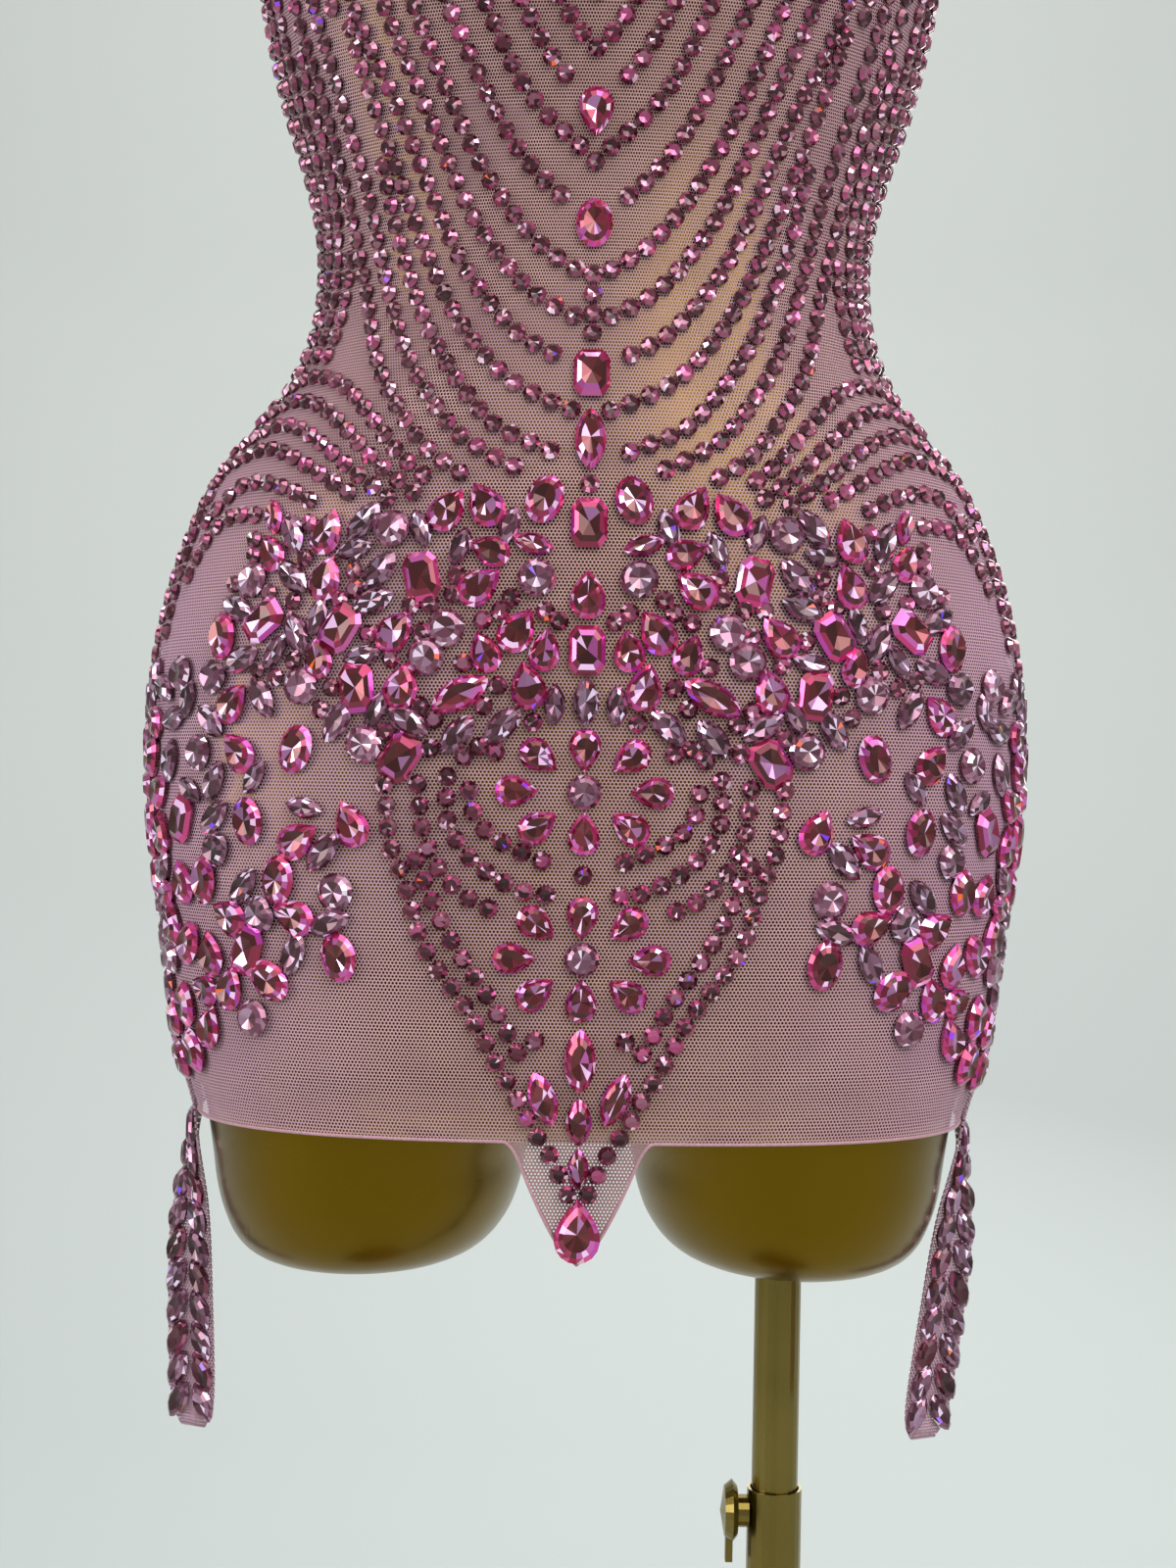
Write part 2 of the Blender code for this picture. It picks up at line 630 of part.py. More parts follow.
def turn_profile(name, profile, material, sides, middle):
    # A closed outline of radius and height pairs, turned about the upright line through the middle.
    turned = bmesh.new()
    rings = []
    for i in range(sides):
        turn = 2 * pi * i / sides
        rings.append([turned.verts.new((r * cos(turn), r * sin(turn), z)) for r, z in profile])
    count = len(profile)
    for i in range(sides):
        after = rings[(i + 1) % sides]
        for k in range(count):
            m = (k + 1) % count
            turned.faces.new((rings[i][k], after[k], after[m], rings[i][m]))
    bmesh.ops.triangulate(turned, faces=turned.faces)
    thing = finish_mesh(name, turned, material)
    thing.location = middle
    return thing


def make_stand(brass):
    base_mesh = bmesh.new()
    heights = ((0.0, BASE_RADIUS), (BASE_THICK - BASE_BEVEL, BASE_RADIUS), (BASE_THICK, BASE_RADIUS - BASE_BEVEL))
    rings = []
    for height, radius in heights:
        turns = [2 * pi * i / BASE_SIDES for i in range(BASE_SIDES)]
        rings.append([base_mesh.verts.new((radius * cos(t), radius * sin(t), height)) for t in turns])
    skin_grid(base_mesh, rings, closed=True)
    base_mesh.faces.new(reversed(rings[0]))
    base_mesh.faces.new(rings[-1])
    finish_mesh("base_plate", base_mesh, brass)

    floor = BASE_THICK + MESH_GAP
    axis = (MAST_SIDE, 0.0, 0.0)
    flange_bore = TUBE_RADIUS + MESH_GAP
    flange = (
        (flange_bore, floor), (FLANGE_RADIUS, floor), (FLANGE_RADIUS, floor + FLANGE_STEPS[0]),
        (flange_bore + FLANGE_COLLAR[0], floor + FLANGE_STEPS[1]),
        (flange_bore + FLANGE_COLLAR[1], floor + FLANGE_HEIGHT), (flange_bore, floor + FLANGE_HEIGHT),
    )
    turn_profile("foot_flange", flange, brass, TUBE_SIDES, axis)

    tube_outline = ((TUBE_BORE, floor), (TUBE_RADIUS, floor), (TUBE_RADIUS, TUBE_TOP), (TUBE_BORE, TUBE_TOP))
    tube = turn_profile("stand_tube", tube_outline, brass, TUBE_SIDES, axis)
    join_solids(tube, lying_rod("clamp_boss", CLAMP_BOSS_RADIUS, CLAMP_BOSS_NEAR, CLAMP_BOSS_REACH, brass))
    hole = lying_rod("clamp_hole", CLAMP_HOLE_RADIUS, CLAMP_HOLE_NEAR, CLAMP_HOLE_FAR, brass)
    join_solids(tube, hole, "DIFFERENCE")

    mast_outline = (
        (MAST_BORE, MAST_FOOT), (MAST_RADIUS, MAST_FOOT), (MAST_RADIUS, MAST_TOP), (MAST_BORE, MAST_TOP),
    )
    turn_profile("mast", mast_outline, brass, TUBE_SIDES, axis)
    make_clamp(brass)


def lying_rod(name, radius, near, far, material, sides=16):
    # A rod along -X from the mast's axis at the clamp's height.
    rod_mesh = bmesh.new()
    middle = Matrix.Translation((MAST_SIDE - (near + far) / 2, 0.0, CLAMP_HEIGHT))
    place = middle @ Matrix.Rotation(pi / 2, 4, "Y")
    bmesh.ops.create_cone(
        rod_mesh, cap_ends=True, segments=sides, radius1=radius, radius2=radius, depth=far - near, matrix=place
    )
    return finish_mesh(name, rod_mesh, material)


def make_clamp(brass):
    # Thumb screw with a round head and one wing, turned about its own axis along X.
    near = MAST_RADIUS + MESH_GAP
    head_near = CLAMP_BOSS_REACH + MESH_GAP
    profile = (
        (0.0, near), (CLAMP_STEM_RADIUS, near), (CLAMP_STEM_RADIUS, head_near),
        (0.8 * CLAMP_HEAD_RADIUS, head_near), (CLAMP_HEAD_RADIUS, head_near + 0.3 * CLAMP_HEAD_THICK),
        (0.8 * CLAMP_HEAD_RADIUS, head_near + 0.75 * CLAMP_HEAD_THICK), (0.0, head_near + CLAMP_HEAD_THICK),
    )
    screw_mesh = bmesh.new()
    ends = (screw_mesh.verts.new((-profile[0][1], 0, 0)), screw_mesh.verts.new((-profile[-1][1], 0, 0)))
    rings = []
    for radius, reach in profile[1:-1]:
        turns = [2 * pi * i / CLAMP_SIDES for i in range(CLAMP_SIDES)]
        rings.append([screw_mesh.verts.new((-reach, radius * cos(t), radius * sin(t))) for t in turns])
    skin_grid(screw_mesh, rings, closed=True)
    for ring, end in ((rings[0], ends[0]), (rings[-1], ends[1])):
        for i in range(CLAMP_SIDES):
            screw_mesh.faces.new((ring[i], ring[(i + 1) % CLAMP_SIDES], end))
    screw = finish_mesh("clamp_screw", screw_mesh, brass)
    screw.location = (MAST_SIDE, 0.0, CLAMP_HEIGHT)

    wing_mesh = bmesh.new()
    bmesh.ops.create_cube(wing_mesh, size=1.0)
    inside = 0.6 * CLAMP_HEAD_RADIUS
    tall = CLAMP_HEAD_RADIUS + CLAMP_WING_LENGTH - inside
    size = Vector((CLAMP_WING_THICK, CLAMP_WING_WIDTH, tall))
    middle = Vector((-head_near - 0.45 * CLAMP_HEAD_THICK, 0.0, -(inside + tall / 2)))
    for vert in wing_mesh.verts:
        vert.co = vert.co * size + middle
    wing = finish_mesh("clamp_wing", wing_mesh, brass)
    wing.parent = screw
    join_solids(screw, wing)


clear_scene()
net = make_material("stone_net", (0.58, 0.40, 0.43), 0.55, 0.0)
shell = make_material("gold_form", (0.26, 0.19, 0.03), 0.18, 0.3)
brass_finish = make_material("brass", (0.42, 0.36, 0.17), 0.3, 1.0)
panels = [
    make_panel("front_panel", front_angles(), -SEAM_GAP / 2, front_stones, net),
    make_panel("back_panel", back_angles(), SEAM_GAP / 2, back_stones, net),
]
make_tail("tail_left", -1, net)
make_tail("tail_right", 1, net)
dress_form = make_form(shell)
scene_state = bpy.context.evaluated_depsgraph_get()
form_skin = BVHTree.FromObject(dress_form, scene_state)
panel_skins = [BVHTree.FromObject(panel, scene_state) for panel in panels]
make_strap("strap_left", -1, form_skin, panel_skins, net)
make_strap("strap_right", 1, form_skin, panel_skins, net)
make_stand(brass_finish)
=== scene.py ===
from itertools import product
from math import cos, exp, hypot, pi, radians, sin

import bpy
import numpy as np
from mathutils import Matrix, Vector
from mathutils.bvhtree import BVHTree


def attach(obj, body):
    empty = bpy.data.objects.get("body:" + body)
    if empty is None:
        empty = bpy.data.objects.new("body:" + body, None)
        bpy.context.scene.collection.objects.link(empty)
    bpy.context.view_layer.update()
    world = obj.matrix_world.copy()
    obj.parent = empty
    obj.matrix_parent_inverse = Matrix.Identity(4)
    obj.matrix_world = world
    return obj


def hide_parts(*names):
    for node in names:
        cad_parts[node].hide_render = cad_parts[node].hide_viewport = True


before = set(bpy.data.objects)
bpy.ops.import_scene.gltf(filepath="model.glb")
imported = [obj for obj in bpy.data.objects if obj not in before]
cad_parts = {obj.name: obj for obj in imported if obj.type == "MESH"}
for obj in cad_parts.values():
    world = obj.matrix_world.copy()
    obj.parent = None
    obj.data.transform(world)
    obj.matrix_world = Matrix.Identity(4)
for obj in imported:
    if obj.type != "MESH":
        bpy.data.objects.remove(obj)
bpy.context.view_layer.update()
print("frame loaded")

photoView = {
    "imageSize": (1200, 1600),
    "distance": 0.85,  # from the lens to the middle plane of the form
    "height": 0.905,
    "side": 0.0012,
    "roll": 1.0,  # degrees
    "focalPixels": 2106.0,  # of the photograph's frame
    "middleTop": 611.0,  # where the dress's middle line crosses the top of the frame, and how it leans
    "middleLean": 0.0175,
}


def addCamera():
    view = photoView
    data = bpy.data.cameras.new("photoCamera")
    data.sensor_fit = "VERTICAL"
    data.angle = 2 * np.arctan(view["imageSize"][1] / 2 / view["focalPixels"])
    data.clip_start = 0.02
    camera = bpy.data.objects.new("photoCamera", data)
    bpy.context.scene.collection.objects.link(camera)
    turn = Matrix.Rotation(pi / 2, 4, "X") @ Matrix.Rotation(radians(view["roll"]), 4, "Z")
    camera.matrix_world = Matrix.Translation((view["side"], -view["distance"], view["height"])) @ turn
    bpy.context.scene.camera = camera
    return camera


camera = addCamera()

# Figure

bust = {"height": 1.285, "side": 0.078, "rise": 0.028, "width": 0.06, "tall": 0.04}
clothWall = 0.0012
formGap = 0.0006
hemHeight = 0.774
lastWholeRow = 1.25
# height, half width, front depth, back depth, squareness
sectionRows = (
    (0.774, 0.1532, 0.098, 0.098, 2.9), (0.8, 0.1605, 0.101, 0.105, 2.8),
    (0.83, 0.1655, 0.103, 0.113, 2.65), (0.86, 0.1697, 0.105, 0.12, 2.5),
    (0.89, 0.1738, 0.106, 0.124, 2.4), (0.92, 0.1755, 0.107, 0.124, 2.3),
    (0.95, 0.1748, 0.1075, 0.12, 2.25), (0.98, 0.169, 0.1065, 0.112, 2.2),
    (1.005, 0.1607, 0.104, 0.103, 2.2), (1.025, 0.151, 0.101, 0.095, 2.2),
    (1.042, 0.1385, 0.0975, 0.088, 2.2), (1.06, 0.124, 0.094, 0.082, 2.2),
    (1.08, 0.1145, 0.0905, 0.077, 2.2), (1.1, 0.1106, 0.088, 0.0745, 2.2),
    (1.125, 0.1112, 0.087, 0.074, 2.2), (1.15, 0.1168, 0.088, 0.076, 2.2),
    (1.18, 0.1265, 0.092, 0.08, 2.2), (1.215, 0.1345, 0.098, 0.086, 2.2),
    (1.25, 0.139, 0.102, 0.091, 2.25), (1.27, 0.1406, 0.1022, 0.0935, 2.28),
    (1.29, 0.1424, 0.1015, 0.0955, 2.3), (1.31, 0.144, 0.1, 0.0975, 2.3),
    (1.33, 0.146, 0.097, 0.099, 2.32), (1.355, 0.15, 0.09, 0.1, 2.35),
    (1.39, 0.158, 0.078, 0.098, 2.4), (1.42, 0.166, 0.068, 0.092, 2.4),
    (1.445, 0.169, 0.06, 0.083, 2.3), (1.462, 0.158, 0.056, 0.075, 2.2),
    (1.476, 0.13, 0.054, 0.07, 2.1), (1.488, 0.095, 0.052, 0.066, 2.0),
    (1.5, 0.072, 0.05, 0.063, 2.0), (1.52, 0.059, 0.047, 0.06, 2.0),
    (1.55, 0.055, 0.045, 0.057, 2.0), (1.56, 0.049, 0.04, 0.051, 2.0),
    (1.564, 0.04, 0.033, 0.042, 2.0),
)
topEdgeRows = ((0, 1.338), (32, 1.35), (60, 1.325), (90, 1.3), (135, 1.288), (180, 1.284))
# height, middle, half width, front depth, back depth
stubRows = (
    (0.71, 0.0888, 0.027, 0.035, 0.035), (0.714, 0.0885, 0.042, 0.052, 0.052),
    (0.72, 0.0875, 0.051, 0.062, 0.062), (0.73, 0.0862, 0.0575, 0.07, 0.07),
    (0.742, 0.0855, 0.0615, 0.076, 0.076), (0.757, 0.085, 0.064, 0.081, 0.081),
    (0.774, 0.0825, 0.069, 0.086, 0.086), (0.8, 0.0815, 0.074, 0.0895, 0.093),
    (0.84, 0.08, 0.06, 0.078, 0.082),
)


def readSmooth(rows, column, place):
    places = [row[0] for row in rows]
    place = min(max(place, places[0]), places[-1])
    last = len(rows) - 1
    low = max(i for i in range(last) if places[i] <= place)
    high = low + 1
    span = places[high] - places[low]

    def slope(i):
        before, after = max(i - 1, 0), min(i + 1, last)
        return (rows[after][column] - rows[before][column]) / (places[after] - places[before])

    t = (place - places[low]) / span
    start, end = rows[low][column], rows[high][column]
    curve = (2 * t**3 - 3 * t**2 + 1) * start + (3 * t**2 - 2 * t**3) * end
    return curve + span * ((t**3 - 2 * t**2 + t) * slope(low) + (t**3 - t**2) * slope(high))


sectionCache = {}


def sectionAt(height):
    key = round(height, 6)
    if key not in sectionCache:
        sectionCache[key] = [readSmooth(sectionRows, column, height) for column in (1, 2, 3, 4)]
    return sectionCache[key]


def signedPower(value, power):
    return abs(value) ** power if value >= 0 else -(abs(value) ** power)


def figurePoint(angle, height, slack=0.0):
    # Angle in degrees from the middle of the front towards +X.
    halfWidth, front, back, squareness = sectionAt(height)
    across, ahead = sin(radians(angle)), cos(radians(angle))
    x = halfWidth * signedPower(across, 2 / squareness)
    y = -(front if ahead > 0 else back) * signedPower(ahead, 2 / squareness)
    if ahead > 0:
        swell = sum(exp(-(((x - side) / bust["width"]) ** 2)) for side in (-bust["side"], bust["side"]))
        rise = (bust["rise"] - slack) * exp(-(((height - bust["height"]) / bust["tall"]) ** 2))
        y -= rise * ahead**0.6 * swell
    return Vector((x, y, height))


def figureNormal(angle, height):
    along = figurePoint(angle + 1.2, height) - figurePoint(angle - 1.2, height)
    up = figurePoint(angle, height + 0.004) - figurePoint(angle, height - 0.004)
    return along.cross(up).normalized()


def angleAt(x, height, back=False):
    # The angle at which the cloth has a given X.
    halfWidth, _, _, squareness = sectionAt(height)
    share = max(-0.9995, min(0.9995, x / halfWidth))
    turn = np.degrees(np.arcsin(signedPower(share, squareness / 2)))
    return float(180 - turn) if back else float(turn)


def topEdge(angle):
    wrapped = abs((angle + 180) % 360 - 180)
    return readSmooth(topEdgeRows, 1, wrapped)


# Mesh helpers


def linkMesh(name, points, faces, smooth=True):
    mesh = bpy.data.meshes.new(name)
    mesh.from_pydata([tuple(p) for p in points], [], faces)
    mesh.update()
    if smooth:
        mesh.shade_smooth()
    piece = bpy.data.objects.new(name, mesh)
    bpy.context.scene.collection.objects.link(piece)
    return piece


def gridFaces(rows, columns, closed=False):
    faces = []
    for r in range(rows - 1):
        for c in range(columns if closed else columns - 1):
            n = (c + 1) % columns
            faces.append((r * columns + c, r * columns + n, (r + 1) * columns + n, (r + 1) * columns + c))
    return faces


def only(piece):
    bpy.ops.object.select_all(action="DESELECT")
    piece.select_set(True)
    bpy.context.view_layer.objects.active = piece


def editAll(*jobs, select="SELECT"):
    # Runs mesh jobs on every face of the active piece.
    bpy.ops.object.mode_set(mode="EDIT")
    bpy.ops.mesh.select_all(action=select)
    for job in jobs:
        job()
    bpy.ops.object.mode_set(mode="OBJECT")


def turnOutward(piece=None):
    if piece:
        only(piece)
    editAll(lambda: bpy.ops.mesh.normals_make_consistent(inside=False))


def onFigure(piece, material, node=None):
    piece.data.materials.append(material)
    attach(piece, "figure")
    if node:
        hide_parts(node)
    return piece


def setUv(piece, uvs):
    layer = piece.data.uv_layers.new(name="clothUv")
    index = np.zeros(len(piece.data.loops), dtype=np.int32)
    piece.data.loops.foreach_get("vertex_index", index)
    layer.data.foreach_set("uv", np.asarray(uvs, dtype=np.float32)[index].ravel())


# Shader maths


class Socket:
    def __init__(self, shader, socket):
        self.shader, self.socket = shader, socket

    def maths(self, operation, other, swap=False):
        first, second = (other, self) if swap else (self, other)
        return self.shader.node("Math", {"operation": operation}, {0: first, 1: second})

    def unary(self, operation):
        return self.shader.node("Math", {"operation": operation}, {0: self})

    def __add__(self, other): return self.maths("ADD", other)
    def __sub__(self, other): return self.maths("SUBTRACT", other)
    def __rsub__(self, other): return self.maths("SUBTRACT", other, True)
    def __mul__(self, other): return self.maths("MULTIPLY", other)
    def __gt__(self, other): return self.maths("GREATER_THAN", other)


class Shader:
    def __init__(self, name, **fixed):
        self.material = bpy.data.materials.new(name)
        self.material.use_nodes = True
        self.tree = self.material.node_tree
        self.surface = self.tree.nodes["Principled BSDF"]
        for socket, value in fixed.items():
            self.surface.inputs[socket.replace("_", " ")].default_value = value

    def node(self, kind, settings=None, inputs=None, output=0):
        made = self.tree.nodes.new("ShaderNode" + kind)
        for key, value in (settings or {}).items():
            setattr(made, key, value)
        for key, value in (inputs or {}).items():
            self.feed(made.inputs[key], value)
        return Socket(self, made.outputs[output])

    def feed(self, target, value):
        if isinstance(value, Socket):
            self.tree.links.new(value.socket, target)
        else:
            target.default_value = value

    def coordinate(self, output="Object"):
        return self.node("TexCoord", output=output)

    def axis(self, number, place=None):
        return self.node("SeparateXYZ", {}, {0: place or self.coordinate()}, number)

    def noise(self, scale, detail=2.0, where=None):
        inputs = {"Vector": where or self.coordinate(), "Scale": scale, "Detail": detail}
        return self.node("TexNoise", {}, inputs)

    def mix(self, factor, first, second):
        inputs = {0: factor, 6: first, 7: second}
        return self.node("Mix", {"data_type": "RGBA"}, inputs, 2)

    def bump(self, height, distance, strength, **over):
        inputs = {"Height": height, "Distance": distance, "Strength": strength, **over}
        return self.node("Bump", {}, inputs)

    def out(self, **links):
        for socket, value in links.items():
            self.feed(self.surface.inputs[socket.replace("_", " ")], value)
        return self.material


def linear(red, green, blue):
    # A colour as seen on a screen, 0 to 255, in the shader's own scale.
    parts = [c / 255 for c in (red, green, blue)]
    return tuple(c / 12.92 if c <= 0.04045 else ((c + 0.055) / 1.055) ** 2.4 for c in parts)


def full(colour, share=1.0):
    return *(c * share for c in colour), 1


netLook = {
    "pitch": 0.00142,  # between holes at the hips
    "holeRadius": 0.35,  # share of the pitch
    "thread": linear(206, 164, 162),
    "threadDeep": linear(182, 138, 142),
    # thread near the seams, painted lilac as a painted sheen
    "threadSideSheen": linear(204, 158, 184),
    "sheen": linear(236, 190, 214),
    "sideGain": 30.0,  # how fast the net closes and takes its painted sheen away from the middle
    "sideClose": 0.08,  # how much smaller the holes are at the seams, a share of the pitch
    "knotDepth": 0.0003,
    "puckerDepth": 0.0006,
    "pucker": (14.0, 14.0, 95.0),  # waves of the fine stretch lines to a metre, each way
}
rowStep = 0.866  # between offset rows, as a share of the pitch


def netMaterial(name, hole=None, shadeShare=1.0):
    look = netLook
    shader = Shader(name, Roughness=0.6, Sheen_Weight=0.35, Sheen_Roughness=0.35)
    shader.surface.inputs["Sheen Tint"].default_value = full(look["sheen"])
    uv = shader.coordinate("UV")
    across = shader.axis(0, uv) * (1 / look["pitch"])
    along = shader.axis(1, uv) * (0.5 / (look["pitch"] * rowStep))

    # Round holes in offset rows: two grids, one shifted by half a step
    def holesFrom(shift):
        dx = (across + shift).unary("FRACT") - 0.5
        dy = ((along + shift).unary("FRACT") - 0.5) * (2 * rowStep)
        return (dx * dx + dy * dy).unary("SQRT")

    near = holesFrom(0.0).maths("MINIMUM", holesFrom(0.5))
    # Towards the seams the net is closer, and its thread is painted more lilac: a painted sheen of the net seen
    # edge-on
    sideways = shader.axis(0)
    side = (sideways * sideways * look["sideGain"]).maths("MINIMUM", 1.0)
    thread = near > ((hole or look["holeRadius"]) - side * look["sideClose"])
    shade = shader.noise(38.0, 1.0)
    plain, deep, far = (full(look[key], shadeShare) for key in ("thread", "threadDeep", "threadSideSheen"))
    colour = shader.mix(side, shader.mix(shade, plain, deep), far)
    # Fine stretch lines round the body
    flat = shader.node("Mapping", {}, {"Vector": shader.coordinate(), "Scale": look["pucker"]})
    wider = shader.bump(shader.noise(1.0, 1.0, flat), look["puckerDepth"], 0.5)
    height = shader.bump(near, look["knotDepth"], 0.6, Normal=wider)
    return shader.out(Base_Color=colour, Alpha=thread, Normal=height)


def formMaterial():
    shader = Shader("goldForm", Metallic=0.93, Coat_Weight=0.08, Coat_Roughness=0.1)
    cloud = shader.noise(6.0, 2.0)
    colour = shader.mix(cloud, full(linear(126, 99, 0)), full(linear(108, 82, 0)))
    fine = shader.bump(shader.noise(420.0, 2.0), 0.0002, 0.06)
    return shader.out(Base_Color=colour, Roughness=cloud * 0.1 + 0.22, Normal=fine)


def brassMaterial():
    shader = Shader("satinBrass", Metallic=1.0, Coat_Weight=0.2)
    stretched = shader.node("Mapping", {}, {"Vector": shader.coordinate(), "Scale": (300.0, 300.0, 4.0)})
    streak = shader.noise(1.0, 3.0, stretched)
    patch = shader.noise(24.0, 2.0)
    colour = shader.mix(patch, full(linear(146, 128, 66)), full(linear(116, 99, 42)))
    fine = shader.bump(streak, 0.0001, 0.15)
    return shader.out(Base_Color=colour, Roughness=streak * 0.18 + patch * 0.12 + 0.12, Normal=fine)


def gemMaterial():
    shader = Shader("stonePaintedReflectionsAndGlints", Metallic=0.64, Coat_Weight=0.75, Coat_Roughness=0.02)
    # Each facet's colour is the stone's own tint mixed with painted reflections of its inner facets; its emission
    # carries painted glints and painted fire
    tint, paintedGlow = (shader.node("Attribute", {"attribute_name": name}) for name in ("gemToneAndPaintedReflection", "gemPaintedGlow"))
    shader.surface.inputs["Emission Strength"].default_value = 1.0
    haze = shader.noise(160.0, 1.0)
    return shader.out(Base_Color=tint, Emission_Color=paintedGlow, Roughness=haze * 0.12 + 0.02)


def edgeMaterial():
    shader = Shader("edgeThread", Roughness=0.7, Sheen_Weight=0.3)
    twist = shader.noise(900.0, 1.0)
    colour = shader.mix(twist, full(linear(206, 160, 170)), full(linear(170, 124, 136)))
    return shader.out(Base_Color=colour, Normal=shader.bump(twist, 0.0002, 0.6))


netCloth = netMaterial("pinkNet")
netPoint = netMaterial("pinkNetPoint", 0.25, 0.64)  # closer, and its thread darker: painted shade, standing in for the shade behind the point
netTail = netMaterial("pinkNetTail", 0.35, 0.9)
edgeThread = edgeMaterial()
goldForm = formMaterial()
satinBrass = brassMaterial()
stonePaintedReflectionsAndGlints = gemMaterial()

# Cloth

clothPlan = {
    "columns": 72,  # of each panel
    "rows": 110,
    "pointAngle": 4.0,  # degrees to each side of the middle of the front
    "pointReach": 1.2,  # end of the rounded corner beside the point, as a share of its angle
    "pointDrop": 0.045,
    "pointLean": 0.002,
    "flatWidths": (0.461, 0.486),  # of the front and the back round the hips
    "seamHalfGap": 0.00015,
    "thickness": 0.0005,
    "edgeRadius": 0.00065,
    "edgeInset": 0.0004,
    "foldFade": (0.008, 5),  # metres from the hem and the top, degrees from a seam
}


def panelAngles(front):
    plan = clothPlan
    if front:
        step = plan["pointAngle"]
        reach = step * plan["pointReach"]
        half = [reach * i / 6 for i in range(1, 7)]
        rest = plan["columns"] // 2 - 6
        half += [reach + (90 - reach) * i / rest for i in range(1, rest + 1)]
        return [-a for a in reversed(half)] + [0.0] + half
    return [90 + 180 * i / plan["columns"] for i in range(plan["columns"] + 1)]


def pointFall(angle):
    # How far the hem falls at an angle, as a share of the point's drop, with soft corners.
    out, reach = abs(angle) / clothPlan["pointAngle"], clothPlan["pointReach"]
    straight = 2 - reach
    return max(0.0, 1 - out) if out <= straight else max(0.0, reach - out) ** 2 / (4 * (reach - 1))


def hangDown(fall):
    # The point leans back a little as it falls.
    return Vector((0, clothPlan["pointLean"] * fall, -clothPlan["pointDrop"] * fall))


# Soft folds of the worn net, alike on both sides: from and to (angle, height), half width, depth inward and the rise
# beside it
creases = (
    ((88, 0.792), (50, 0.801), 0.006, 0.0008, 0.00022), ((84, 0.822), (44, 0.806), 0.007, 0.0007, 0.0002),
    ((5, 0.786), (27, 0.812), 0.0055, 0.0008, 0.00022), ((9, 0.781), (38, 0.79), 0.005, 0.0007, 0.00022),
    ((90, 1.094), (52, 1.104), 0.006, 0.0008, 0.00022), ((90, 1.112), (60, 1.121), 0.0055, 0.0007, 0.0002),
    ((90, 1.074), (64, 1.066), 0.006, 0.0006, 0.00018), ((92, 1.098), (138, 1.09), 0.0065, 0.0008, 0.00022),
    ((92, 1.116), (156, 1.106), 0.006, 0.0008, 0.00022), ((96, 0.8), (140, 0.812), 0.0065, 0.0008, 0.00022),
    ((176, 1.076), (140, 1.066), 0.007, 0.0008, 0.00022), ((172, 0.846), (128, 0.834), 0.008, 0.0008, 0.0002),
    ((64, 1.236), (88, 1.216), 0.007, 0.0007, 0.0002), ((20, 1.252), (44, 1.226), 0.006, 0.0005, 0.00018),
)
creasePlan = {
    "perDegree": 0.0027,  # cloth round the body for one degree
    "wander": 0.0022,  # how far a fold leaves its straight line
    "overrun": 0.3,  # of its length, at each end
    "banks": 1.9,  # from the fold to the rise beside it, in half widths
    "highest": 0.0003,
    "deepest": 0.0009,
}


def creaseDepth(angle, height):
    plan = creasePlan
    depth = 0.0
    turned = abs((angle + 180) % 360 - 180)
    for (a0, h0), (a1, h1), half, deep, rise in creases:
        across = (turned - a0) * plan["perDegree"], height - h0
        along = (a1 - a0) * plan["perDegree"], h1 - h0
        length = hypot(*along)
        share = (across[0] * along[0] + across[1] * along[1]) / length**2
        bend = plan["wander"] * sin(5.0 * share + a0)
        off = (across[1] * along[0] - across[0] * along[1]) / length + bend
        if -plan["overrun"] < share < 1 + plan["overrun"]:
            fade = max(0.0, 1 - abs(share - 0.5) / (0.5 + plan["overrun"])) ** 0.7
            fade *= 0.8 + 0.2 * sin(9.0 * share + h0 * 70)
            bank = exp(-(((abs(off) - plan["banks"] * half) / half) ** 2))
            depth += fade * (deep * exp(-((off / half) ** 2)) - rise * bank)
    return min(max(depth, -plan["highest"]), plan["deepest"])


def panelPoint(angle, share, angles, front):
    # Share runs from the hem to the top edge.
    plan = clothPlan
    height = hemHeight + share * (topEdge(angle) - hemHeight)
    spot = figurePoint(angle, height)
    facing = figureNormal(angle, height)
    if angle in (angles[0], angles[-1]):
        spot.y += -plan["seamHalfGap"] if front else plan["seamHalfGap"]
        facing = Vector((facing.x, 0, facing.z)).normalized()
    # Folds die away at the sewn edges
    fromSeam = abs(abs(angle - (0 if front else 180)) - 90)
    fadeLength, fadeAngle = plan["foldFade"]
    fromEdges = min(height - hemHeight, topEdge(angle) - height)
    edge = min(1.0, fromEdges / fadeLength, fromSeam / fadeAngle)
    return spot - ((clothWall - plan["thickness"]) * 0.5 + max(edge, 0.0) * creaseDepth(angle, height)) * facing


